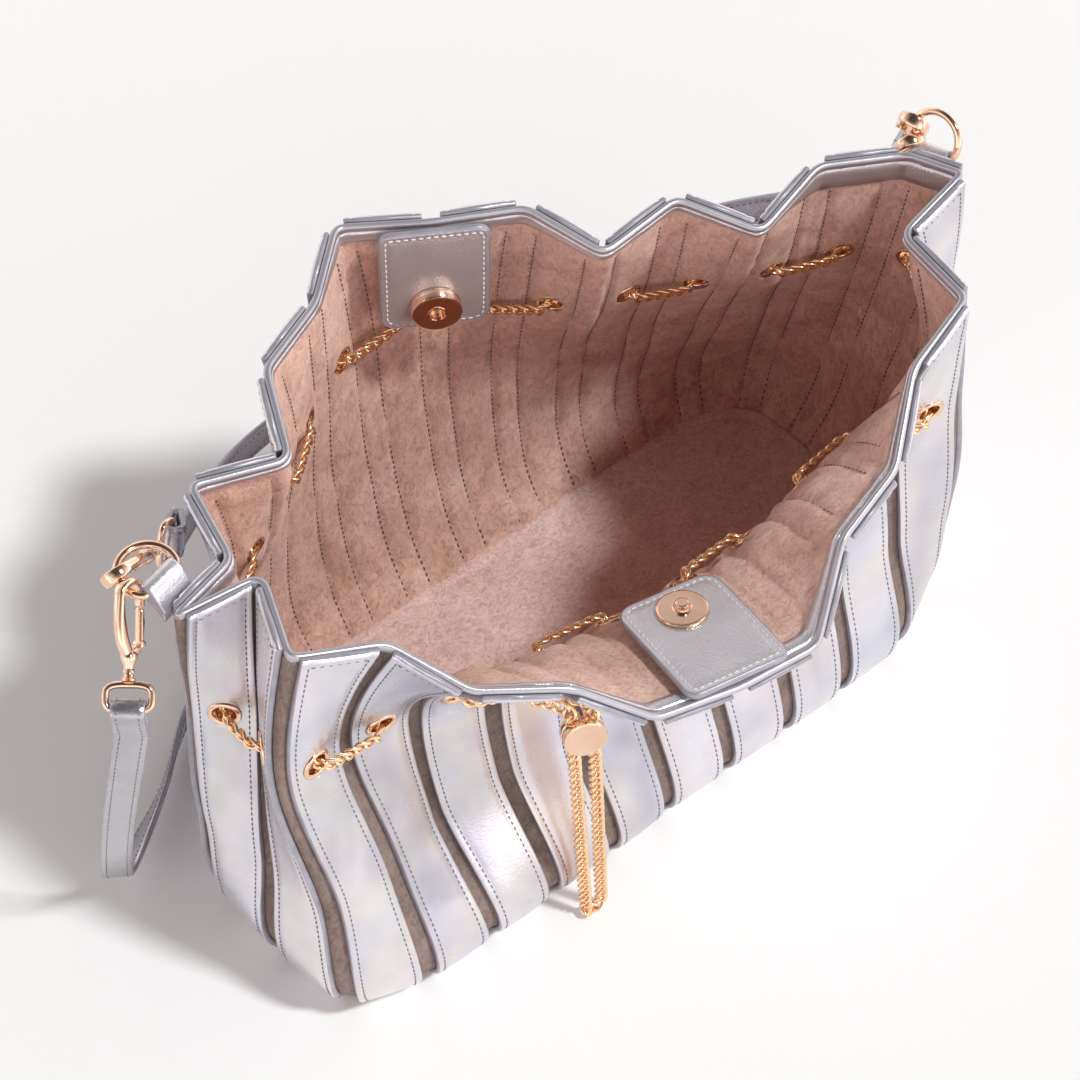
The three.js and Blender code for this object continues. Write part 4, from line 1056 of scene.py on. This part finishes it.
# a reference that turns smoothly with the route
refs = []
r0 = across((0.2, -0.7, 0.6), dirs[0])
for d, n_ in zip(dirs, link_n):
    want = np.cross(unit(n_), d)
    want = want * np.sign(np.dot(want, across(r0, d)) or 1.0)
    r0 = across(across(r0, d) + 0.6 * want, d)
    refs.append(r0)
refs = np.array(refs)
NA, NS = 22, 8
ang = np.arange(NA) / NA * 2 * np.pi
cl, sl_ = np.cos(ang), np.sin(ang)
lx = LINK_L / 2 * np.sign(cl) * np.abs(cl) ** 0.85
ly = LINK_W / 2 * np.sign(sl_) * np.abs(sl_) ** 0.85
tw = math.radians(46) * lx / (LINK_L / 2)
core = np.stack([lx, ly * np.cos(tw), ly * np.sin(tw)], -1)
ct = tangents(core, closed=True)
c_out = across(core * [0.4, 1, 1], ct)
c_b = np.cross(ct, c_out)
tube_v = []
for a in np.arange(NS) / NS * 2 * np.pi:
    tube_v.append(core + c_out * LINK_R * math.cos(a) + c_b * LINK_R * math.sin(a))
tube_v = np.stack(tube_v, 1).reshape(-1, 3)
link_f = [tuple(int(k) for k in q) for q in grid(NA, NS, ring_rows=True, ring_cols=True)]
third = np.cross(dirs, refs)
lv = centres[:, None] + tube_v[None, :, :1] * dirs[:, None] + tube_v[None, :, 1:2] * refs[:, None] + tube_v[None, :, 2:] * third[:, None]
ch = Batch()
ch.add_many(lv, link_f)
ch.make("drawstring_chain", [CHAIN_GOLD_PAINTED_HIGHLIGHT], "chain_metal", stands_for=("chain_left", "chain_right"))

st = Batch()
R_, H_ = STOPPER["r"], STOPPER["thick"] / 2
prof_s = [(0.4, -H_), (R_ - 0.9, -H_), (R_ - 0.25, -H_ + 0.3), (R_, -H_ + 0.9), (R_ - 0.1, -0.5), (R_ - 0.45, -0.2), (R_ - 0.45, 0.2), (R_ - 0.1, 0.5),
          (R_, H_ - 0.9), (R_ - 0.25, H_ - 0.3), (R_ - 0.9, H_), (R_ - 1.2, H_ + 0.02), (R_ - 1.7, H_ + 0.03), (0.4, H_ + 0.04)]
v, f = lathe(prof_s, STOPPER_AT, stop_face, 48)
st.add(v, f)
st.make("stopper_disc", [GOLD], "chain_metal", stands_for=("chain_stopper",), sharp=35)


# ------------------------------------------------------------------ magnet tabs and snaps
def tab_frame(fold_no, lean):
    t1 = np.array([3.97])
    top = fold(fold_no, t1)[0]
    edge = unit(fold(fold_no - 1, np.array([4.0]))[0] - fold(fold_no + 1, np.array([4.0]))[0])
    down = across(fold(fold_no, np.array([3.35]))[0] - top, edge)
    inward = unit(np.cross(edge, down))
    a = math.radians(lean)
    run = down * math.cos(a) + inward * math.sin(a)
    face = unit(np.cross(edge, run))
    return top + inward * (TAB["lift"] + TAB["thick"] / 2), edge, run, face


for tname, fold_no, lean, male in TABS:
    at, edge, run, face = tab_frame(fold_no, lean)
    half, L, c = TAB["width"] / 2, TAB["length"], 7.0
    pts2, ct_ = [], 4.4
    for x in np.linspace(ct_ - half, half - ct_, 12):
        pts2.append((x, -4.6))
    for a in np.linspace(-np.pi / 2, 0, 6)[1:]:
        pts2.append((half - ct_ + ct_ * math.cos(a), ct_ - 4.6 + ct_ * math.sin(a)))
    for y in np.linspace(ct_ - 4.6, L - c, 14)[1:]:
        pts2.append((half, y))
    for a in np.linspace(0, np.pi / 2, 9)[1:]:
        pts2.append((half - c + c * math.cos(a), L - c + c * math.sin(a)))
    for x in np.linspace(half - c, c - half, 10)[1:]:
        pts2.append((x, L))
    for a in np.linspace(np.pi / 2, np.pi, 9)[1:]:
        pts2.append((c - half + c * math.cos(a), L - c + c * math.sin(a)))
    for y in np.linspace(L - c, ct_ - 4.6, 14)[1:]:
        pts2.append((-half, y))
    for a in np.linspace(np.pi, 1.5 * np.pi, 6)[1:-1]:
        pts2.append((ct_ - half + ct_ * math.cos(a), ct_ - 4.6 + ct_ * math.sin(a)))
    pts2 = np.array(pts2)
    mid2 = np.array([0.0, L * 0.52])
    # rows from the back face, round the piped edge, to the front face
    T = TAB["thick"] / 2
    shells = [(0.0, -T, True), (2.2, -T, False), (0.7, -T, False), (0.12, -T + 0.45, False), (-0.1, 0.0, False), (0.1, T - 0.4, False), (0.7, T + 0.05, False),
              (1.6, T + 0.12, False), (2.5, T - 0.14, False), (3.4, T + 0.08, False)]
    tv = []
    n2 = unit(np.stack([np.roll(pts2, -1, 0)[:, 1] - np.roll(pts2, 1, 0)[:, 1], -(np.roll(pts2, -1, 0)[:, 0] - np.roll(pts2, 1, 0)[:, 0])], -1))
    if np.mean(np.sum(n2 * (pts2 - mid2), -1)) < 0:
        n2 = -n2
    for ins, z, centre in shells[1:]:
        q = pts2 - n2 * ins
        tv.append(np.column_stack([q, np.full(len(q), z)]))
    q0 = pts2 - n2 * 3.4
    line_ = np.stack([np.clip(q0[:, 0], -4, 4), np.clip(q0[:, 1], 15, 31)], -1)
    for k in (0.2, 0.45, 0.7, 0.92):
        q = q0 + (line_ - q0) * k
        tv.append(np.column_stack([q, np.full(len(q), T + 0.22)]))
    tv = np.array(tv)
    # the leather gives a little along its length
    bow = 1.1 * np.sin(np.clip(tv[..., 1] / L, 0, 1) * np.pi) + 0.25 * ripple(tv, 22.0, 41)
    tv[..., 2] += bow * (0.35 if male else 0.6)
    nr, nc = tv.shape[:2]
    world = at + tv[..., :1] * edge + tv[..., 1:2] * run + tv[..., 2:] * face
    f = [tuple(q) for q in grid(nr, nc, ring_cols=True)]
    mats = [1 if (int(q[0]) // nc) in (1, 2, 3, 4) else 0 for q in f]
    f.append(tuple(range(nc)))
    f.append(tuple((nr - 1) * nc + j for j in range(nc))[::-1])
    mats += [0, 0]
    tb = Batch()
    tb.add(world.reshape(-1, 3), f, mats)
    tb.make("magnet_tab_%s_leather" % tname, [LEATHER_IN, EDGE], "silver_leather", stands_for=("magnet_tab_" + tname,))
    ln = pts2 - n2 * 2.5
    zz = T + 0.02 + (1.1 * np.sin(np.clip(ln[:, 1] / L, 0, 1) * np.pi)) * (0.35 if male else 0.6)
    lw = at + ln[:, :1] * edge + ln[:, 1:2] * run + zz[:, None] * face
    stitch_run(np.vstack([lw, lw[:1]]), np.tile(face, (len(lw) + 1, 1)), 2.6, 1.9, 0.29, "pale")
    c3 = at + run * TAB["snap_at"] + face * (T + 0.3 + (0.35 if male else 0.6))
    sn = Batch()
    if male:
        prof_m = [(0.3, 0.0), (8.7, 0.0), (9.0, 0.25), (9.0, 0.9), (8.75, 1.25), (8.3, 1.4), (8.0, 1.402), (3.6, 1.404), (3.2, 1.42), (2.75, 1.6), (2.6, 1.9), (2.6, 3.3), (2.35, 3.65), (1.9, 3.8), (1.65, 3.802), (0.3, 3.804)]
        v, f = lathe(prof_m, c3, face, 48)
        sn.add(v, f)
        sn.make("snap_stud_metal", [GOLD], "rose_gold", stands_for=("snap_stud",), sharp=32)
    else:
        prof_f = [(0.3, 0.0), (8.8, 0.0), (9.0, 0.2), (9.0, 1.5), (8.85, 1.65), (8.85, 1.85), (9.0, 2.0), (9.0, 4.0), (8.8, 4.4), (8.3, 4.6), (8.0, 4.602), (4.0, 4.604), (3.6, 4.62), (3.45, 5.05), (3.0, 5.1), (2.8, 4.8),
                  (2.75, 2.2), (0.3, 2.15)]
        v, f = lathe(prof_f, c3, face, 48)
        sn.add(v, f)
        sn.make("snap_socket_metal", [GOLD], "rose_gold", stands_for=("snap_socket",), sharp=32)

# ------------------------------------------------------------------ rings and ring tabs
ring_info = []
for rname, slat, k, out_, up_, tip_ in RINGS:
    p, n, e, u = (x[0] for x in slat_frame(slat, np.array([k]), np.array([4.0])))
    edge = e
    level = unit(np.array([-edge[1], edge[0], 0.0]))
    flat_ = -level if np.dot(level, n) < 0 else level
    rise_ = across((0, 0, 1.0), edge)
    away = across(flat_ * math.cos(math.radians(tip_)) + rise_ * math.sin(math.radians(tip_)), edge)
    bar = p + n * out_ + u * up_
    centre = bar + away * RING["chord"]
    axis = unit(np.cross(edge, away))
    half = math.sqrt(RING["arc_r"] ** 2 - RING["chord"] ** 2)
    start = math.atan2(-RING["chord"], half)
    pts_ = []
    for a in np.linspace(start, math.pi - start, 44):
        pts_.append(centre + edge * RING["arc_r"] * math.cos(a) + away * RING["arc_r"] * math.sin(a))
    # corners eased into the straight bar
    for x in np.linspace(-half, half, 14)[1:-1]:
        pts_.append(bar + edge * x)
    pts_ = np.array(pts_)
    for _ in range(2):
        pts_ = (np.roll(pts_, 1, 0) + 2 * pts_ + np.roll(pts_, -1, 0)) / 4
    tg = tangents(pts_, closed=True)
    v, f = sweep(pts_, unit(np.cross(tg, axis)), np.tile(axis, (len(pts_), 1)), circle(RING["wire_r"] + 0.05, 14), closed=True)
    rb = Batch()
    rb.add(v, f)
    rb.make("ring_%s_metal" % rname, [GOLD], "rose_gold", stands_for=("ring_" + rname,))
    ring_info.append(dict(centre=centre, edge=edge, away=away, axis=axis, bar=bar, point=p, out=n, up=u))

    # leather loop: tongue on the slat, rolled round the bar, both ends sewn down
    low_ = WALL_T / 2 + SKIN_GAP + SLAT_T + 0.15
    r_o = RING_TAB["roll_r"] + 0.1
    tongue_ = 6.5 if rname == "left" else RING_TAB["tongue"]
    sect = [(low_, -tongue_)]
    for x in np.linspace(0, 1, 6)[1:]:
        sect.append((low_ + 0.25 * math.sin(x * math.pi), -tongue_ + x * (tongue_ + min(up_ - 2.0, -1.0))))
    a0, a1 = math.pi * 0.80, -math.pi * 0.45
    for a in np.linspace(a0, a1, 18):
        sect.append((out_ + r_o * math.cos(a), up_ + r_o * math.sin(a)))
    ylow = min(up_ - 5.0, -3.4)
    sect.append((low_ + 2.6, ylow))
    for x in np.linspace(0, 1, 6)[1:]:
        sect.append((low_ + 1.9 - 0.5 * smooth01(x), ylow + x * (-tongue_ - ylow)))
    sect = np.array(sect)
    third_ = unit(np.cross(n, u))
    wid = RING_TAB["width"] / 2 + 1.9
    vrows = []
    for x, shrink in ((-wid, 0.45), (-wid + 0.35, 0.12), (-wid + 1.0, 0.0), (-wid / 2, -0.06), (0, -0.1), (wid / 2, -0.06), (wid - 1.0, 0.0), (wid - 0.35, 0.12), (wid, 0.45)):
        cen = sect.mean(0)
        t2 = unit(np.roll(sect, -1, 0) - np.roll(sect, 1, 0))
        n2 = np.stack([t2[:, 1], -t2[:, 0]], -1)
        if np.sum(n2 * (sect - cen)) < 0:
            n2 = -n2
        q = sect - n2 * shrink
        vrows.append(p + q[:, :1] * n + q[:, 1:] * u + third_ * x)
    v = np.array(vrows)
    nr, nc = v.shape[:2]
    f = [tuple(q) for q in grid(nr, nc, ring_cols=True)]
    mats = [1 if int(q[0]) // nc in (0, nr - 2) else 0 for q in f]
    f.append(tuple(range(nc)))
    f.append(tuple((nr - 1) * nc + j for j in range(nc))[::-1])
    mats += [1, 1]
    tbb = Batch()
    tbb.add(v.reshape(-1, 3), f, mats)
    tbb.make("ring_tab_%s_leather" % rname, [LEATHER_IN, EDGE], "silver_leather", stands_for=("ring_tab_" + rname,))
    for sx in (-1, 1):
        yy = np.linspace(ylow - 1.0, 1.4 - tongue_, 20)
        lp = p + n * (low_ + 1.75) + u * yy[:, None] + third_ * sx * (wid - 1.6)
        stitch_run(lp, np.tile(n, (len(lp), 1)), 2.8, 2.0, 0.3, "pale")

# ------------------------------------------------------------------ snap hooks
strap_ends = []
for hname, ring_no, angle, dvec, bvec, turn in HOOKS:
    ri = ring_info[ring_no]
    a = math.radians(90 + angle)
    radial = ri["edge"] * math.cos(a) + ri["away"] * math.sin(a)
    wire = ri["centre"] + radial * RING["arc_r"]
    tangent = unit(np.cross(radial, ri["axis"]))
    down = unit(np.array(dvec))
    side = unit(np.cross(across(tangent, down), down))
    side = side * math.cos(math.radians(turn)) + np.cross(down, side) * math.sin(math.radians(turn))
    pin = unit(np.cross(side, down))
    eye = wire + down * (HOOK["eye_r"] - HOOK["wire_r"] - RING["wire_r"] - HOOK["play"])
    R = HOOK["eye_r"]

    def at(w, d):
        return eye + side * w + down * d

    line2 = [(R, HOOK["tip"] + 0.1), (R, HOOK["tip"] * 0.5)]
    for q in np.linspace(0, math.pi, 15):
        line2.append((R * math.cos(q), -R * math.sin(q)))
    for d, w in ((1.5, 1.0), (3.5, 1.0), (6.0, 0.98), (8.5, 0.93), (11.0, 0.84), (13.2, 0.72), (15.2, 0.56), (17.0, 0.36), (18.4, 0.14), (19.2, 0.0)):
        line2.append((-R * w, d))
    line2 = np.array(line2)
    t2 = tangents(np.column_stack([line2, np.zeros(len(line2))]))[:, :2]
    nn2 = np.stack([t2[:, 1], -t2[:, 0]], -1)
    n_pts = len(line2)
    frac = np.linspace(0, 1, n_pts)
    # band: broad and flat at the crown, deeper down the spine
    wide = 1.7 + 0.7 * np.exp(-((frac - 0.35) / 0.22) ** 2)
    deep = np.where(frac < 0.06, 1.0, 1.25) + 0.75 * smooth01((frac - 0.62) / 0.25) * smooth01((1.08 - frac) / 0.2)
    secs = np.stack([super_section(deep[i], wide[i], 16, 0.55) for i in range(n_pts)])
    pw = np.array([at(w, d) for w, d in line2])
    fa = nn2[:, :1] * side + nn2[:, 1:] * down
    v, f = sweep(pw, fa, np.tile(pin, (n_pts, 1)), secs)
    hb = Batch()
    hb.add(v, f)
    lug = np.array([at(w * R, d) for w, d in ((-0.12, 18.9), (0.15, 18.3), (0.42, 17.5), (0.66, 16.7), (0.78, 16.35))])
    lt = unit(lug[-1] - lug[0])
    v, f = sweep(lug, np.tile(unit(np.cross(lt, pin)), (5, 1)), np.tile(pin, (5, 1)), np.stack([super_section(a_, 2.0, 16, 0.55) for a_ in (1.7, 1.75, 1.6, 1.35, 0.9)]))
    hb.add(v, f)
    bar_prof = [(0.3, HOOK["foot"] - 1.4), (1.9, HOOK["foot"] - 1.2), (2.75, HOOK["foot"] - 0.2), (2.8, HOOK["foot"] + 1.0), (2.3, HOOK["foot"] + 2.2), (1.75, HOOK["foot"] + 3.4), (1.6, HOOK["foot"] + 4.4),
                (2.0, HOOK["foot"] + 4.9), (2.0, HOOK["foot"] + 5.6), (1.6, HOOK["foot"] + 6.0), (1.65, HOOK["barrel_end"] - 0.9), (2.2, HOOK["barrel_end"] - 0.5), (2.2, HOOK["barrel_end"] + 0.25), (0.3, HOOK["barrel_end"] + 0.3)]
    v, f = lathe(bar_prof, eye, down, 28, ref=pin)
    hb.add(v, f)
    hb.make("hook_%s_frame" % hname, [GOLD], "rose_gold", stands_for=("hook_%s_body" % hname,), sharp=38)

    # gate: a flat lever on a pin, with a thumb swell
    gl = np.linspace(GATE["bottom"], GATE["top"] - 0.1, 14)
    gx = (GATE["bottom"] - gl) / (GATE["bottom"] - GATE["top"])
    swell = 0.55 * np.exp(-((gx - 0.62) / 0.16) ** 2)
    gp = np.array([at(R + 0.25 * s_, d) for d, s_ in zip(gl, swell)])
    endr = np.minimum(1, np.minimum(gx, 1 - gx) / 0.05 + 0.62)
    gsec = np.stack([super_section((0.95 + 0.4 * swell[i]) * endr[i], 1.55 * endr[i], 14, 0.6) for i in range(14)])
    v, f = sweep(gp, np.tile(side, (14, 1)), np.tile(pin, (14, 1)), gsec)
    gb = Batch()
    gb.add(v, f)
    v, f = lathe([(0.2, -1.95), (0.9, -1.93), (1.2, -1.75), (1.25, -1.5), (1.25, 1.5), (1.2, 1.75), (0.9, 1.93), (0.2, 1.95)], at(R, GATE["pivot"]), pin, 20, ref=down)
    gb.add(v, f)
    gb.make("hook_%s_lever" % hname, [GOLD], "rose_gold", body="gate_" + hname, stands_for=("hook_%s_gate" % hname,), sharp=38)

    bar = across(np.array(bvec), down)
    top = HOOK["barrel_end"] + 0.35 + EYE["wire_r"]
    middle = eye + down * (top + EYE["half_h"])
    oval = []
    for q in np.arange(48) / 48 * 2 * math.pi:
        c_, s_ = math.cos(q), math.sin(q)
        oval.append(middle + bar * EYE["half_w"] * math.copysign(abs(c_) ** 0.6, c_) + down * EYE["half_h"] * math.copysign(abs(s_) ** 0.6, s_))
    oval = resample(np.vstack([oval, oval[:1]]), count=65)[:-1]
    ax = unit(np.cross(bar, down))
    tg = tangents(oval, closed=True)
    v, f = sweep(oval, unit(np.cross(tg, ax)), np.tile(ax, (len(oval), 1)), circle(EYE["wire_r"] + 0.03, 12), closed=True)
    eb = Batch()
    eb.add(v, f)
    eb.make("hook_%s_loop" % hname, [GOLD], "rose_gold", stands_for=("hook_%s_eye" % hname,))
    strap_ends.append(dict(bar=bar, centre=middle + down * EYE["half_h"], run=down))


# ------------------------------------------------------------------ straps
def strap_end(end, towards, hint):
    run = across(towards - end["centre"], end["bar"])
    bar = -end["bar"] if np.dot(end["bar"], hint) < 0 else end["bar"]
    face = unit(np.cross(bar, run))

    def at(g, m):
        return end["centre"] + run * g + face * m

    lr = STRAP["loop_r"]
    pts_ = [at(STRAP["lap"], -STRAP["lap_gap"]), at(6.5, -lr * 0.75), at(2, -lr)]
    for q in np.linspace(0, math.pi, 9):
        pts_.append(at(-lr * math.sin(q), -lr * math.cos(q)))
    pts_ += [at(2, lr), at(6.5, lr * 0.75), at(STRAP["lap"], STRAP["lap_gap"])]
    return np.array(pts_), bar


def strap(name, first, last, table):
    wayp, lie = table[:, :3], unit(table[:, 3:])
    pa, ba = strap_end(first, wayp[0], lie[0])
    pb, bb = strap_end(last, wayp[-1], lie[-1])
    ctrl = np.vstack([pa[-1:], wayp, pb[-1:]])
    lies = np.vstack([ba, lie, bb])
    steps = 10 * (len(wayp) + 1)
    midp = catmull(ctrl, steps)[1:-1]
    kk = np.arange(1, steps) / steps * (len(lies) - 1)
    j = np.minimum(kk.astype(int), len(lies) - 2)
    ml = unit(lies[j] + (lies[j + 1] - lies[j]) * (kk - j)[:, None])
    pts_ = np.vstack([pa, midp, pb[::-1]])
    wid = np.vstack([np.tile(ba, (len(pa), 1)), ml, np.tile(bb, (len(pb), 1))])
    # ease the laps, which are a few straight steps in the frame
    head = resample(catmull(pa, 60), count=40)
    tail = resample(catmull(pb, 60), count=40)
    pts_ = np.vstack([head, midp, tail[::-1]])
    wid = np.vstack([np.tile(ba, (40, 1)), ml, np.tile(bb, (40, 1))])
    tg = tangents(pts_)
    w_ = across(wid, tg)
    n_ = unit(np.cross(tg, w_))
    a_, t_ = STRAP["width"] / 2, STRAP["thick"] / 2
    sec = [(-a_ + 0.25, -t_), (-a_ + 1.9, -t_ - 0.02), (-a_ + 2.6, -t_ - 0.1), (0, -t_ - 0.15), (a_ - 2.6, -t_ - 0.1), (a_ - 1.9, -t_ - 0.02), (a_ - 0.25, -t_), (a_, -t_ + 0.35), (a_, t_ - 0.35), (a_ - 0.25, t_),
           (a_ - 1.9, t_ + 0.02), (a_ - 2.6, t_ + 0.1), (0, t_ + 0.15), (-a_ + 2.6, t_ + 0.1), (-a_ + 1.9, t_ + 0.02), (-a_ + 0.25, t_), (-a_, t_ - 0.35), (-a_, -t_ + 0.35)]
    v, f = sweep(pts_, w_, n_, np.array(sec))
    nc = len(sec)
    mats = [1 if int(q[0]) % nc in (6, 7, 8, 15, 16, 17) else 0 for q in f[:-2]] + [1, 1]
    sb = Batch()
    sb.add(v, f, mats)
    o = sb.make(name + "_leather", [STRAP_LEATHER, EDGE], "strap_leather", stands_for=(name,))
    for sx in (-1, 1):
        for sz in (-1, 1):
            lp = pts_ + w_ * sx * (a_ - 1.9) + n_ * sz * (t_ + 0.02)
            stitch_run(lp, n_ * sz, 2.6, 1.75, 0.27, "strap")
    for k_ in (39, 24, len(pts_) - 40, len(pts_) - 25):
        for sz in (-1, 1):
            lp = pts_[k_] + w_[k_] * np.linspace(1.9 - a_, a_ - 1.9, 9)[:, None] + n_[k_] * sz * (t_ + 0.06)
            stitch_run(lp, np.tile(n_[k_] * sz, (9, 1)), 2.4, 1.7, 0.27, "strap")
    return o, pts_


strap_a, path_a = strap("strap_long", strap_ends[0], strap_ends[3], STRAP_LONG)
strap_b, path_b = strap("strap_short", strap_ends[1], strap_ends[2], STRAP_SHORT)

# ------------------------------------------------------------------ stitches
for key, mat_, name_, slot_ in (("dark", THREAD_DARK, "slat_stitches", "silver_leather"), ("strap", THREAD_DARK, "strap_stitches", "strap_leather"), ("brown", THREAD_BROWN, "lining_stitches", "suede_body"), ("pale", THREAD_PALE, "trim_stitches", "silver_leather")):
    v, f = stitch_mesh(stitch_sets[key])
    sb = Batch()
    sb.add_many(v, f)
    sb.make(name_, [mat_], slot_)

bpy.data.objects.remove(CUT, do_unlink=True)

# ------------------------------------------------------------------ floor and light
fl_me = bpy.data.meshes.new("floor")
n_f, span_f = 40, 3.0
fv = [((i / n_f - 0.5) * 2 * span_f, (j / n_f - 0.5) * 2 * span_f, 0.0) for i in range(n_f + 1) for j in range(n_f + 1)]
ff = [(i * (n_f + 1) + j, (i + 1) * (n_f + 1) + j, (i + 1) * (n_f + 1) + j + 1, i * (n_f + 1) + j + 1) for i in range(n_f) for j in range(n_f)]
fl_me.from_pydata(fv, [], ff)
floor = bpy.data.objects.new("floor", fl_me)
scene.collection.objects.link(floor)
fm, nt, bsdf, tc = nodes_of("floor_white")
nt.links.new(ramp(nt, noise(nt, tc, 3.0, 2.0), [(0.3, (0.875, 0.868, 0.862)), (0.7, (0.893, 0.886, 0.88))]), bsdf.inputs["Base Color"])
bsdf.inputs["Roughness"].default_value = 0.7
fl_me.materials.append(fm)


sun = bpy.data.lights.new("key", "SUN")
sun.energy, sun.angle, sun.color = 2.06, math.radians(6.5), (0.94, 1.0, 0.99)
sun_o = bpy.data.objects.new("key", sun)
scene.collection.objects.link(sun_o)
sun_o.rotation_euler = Vector((-0.293, 0.414, -0.862)).to_track_quat("-Z", "Y").to_euler()

world = bpy.data.worlds.new("studio")
scene.world = world
world.use_nodes = True
wn = world.node_tree
wn.nodes.clear()
wo = wn.nodes.new("ShaderNodeOutputWorld")
bg = wn.nodes.new("ShaderNodeBackground")
wt = wn.nodes.new("ShaderNodeTexCoord")
wd = wn.nodes.new("ShaderNodeVectorMath")
wd.operation = "DOT_PRODUCT"
wd.inputs[1].default_value = (0.45, -0.78, 0.43)
wn.links.new(wt.outputs["Generated"], wd.inputs[0])
wr_ = wn.nodes.new("ShaderNodeMapRange")
wr_.inputs["From Min"].default_value = -0.75
wr_.inputs["From Max"].default_value = 0.85
wr_.inputs["To Min"].default_value = 0.42
wr_.inputs["To Max"].default_value = 0.58
wn.links.new(wd.outputs["Value"], wr_.inputs["Value"])
wx = wn.nodes.new("ShaderNodeSeparateXYZ")
wn.links.new(wt.outputs["Generated"], wx.inputs[0])
wz = wn.nodes.new("ShaderNodeMapRange")
for key_, val_ in (("From Min", 0.15), ("From Max", 0.85), ("To Min", 3.45), ("To Max", 0.17)):
    wz.inputs[key_].default_value = val_
wn.links.new(wx.outputs["Z"], wz.inputs["Value"])
panel = wn.nodes.new("ShaderNodeTexNoise")
panel.inputs["Scale"].default_value = 2.6
panel.inputs["Detail"].default_value = 1.0
wn.links.new(wt.outputs["Generated"], panel.inputs["Vector"])
wp = wn.nodes.new("ShaderNodeMapRange")
for key_, val_ in (("From Min", 0.36), ("From Max", 0.64), ("To Min", 0.6), ("To Max", 1.4)):
    wp.inputs[key_].default_value = val_
wn.links.new(panel.outputs["Fac"], wp.inputs["Value"])
strength_ = math_node(wn, "MULTIPLY", math_node(wn, "MULTIPLY", wr_.outputs[0], wz.outputs[0]), wp.outputs[0])
wn.links.new(strength_, bg.inputs["Strength"])
bg.inputs["Color"].default_value = (1.0, 0.925, 0.93, 1)
wn.links.new(bg.outputs[0], wo.inputs[0])
scene.view_settings.view_transform = "Standard"
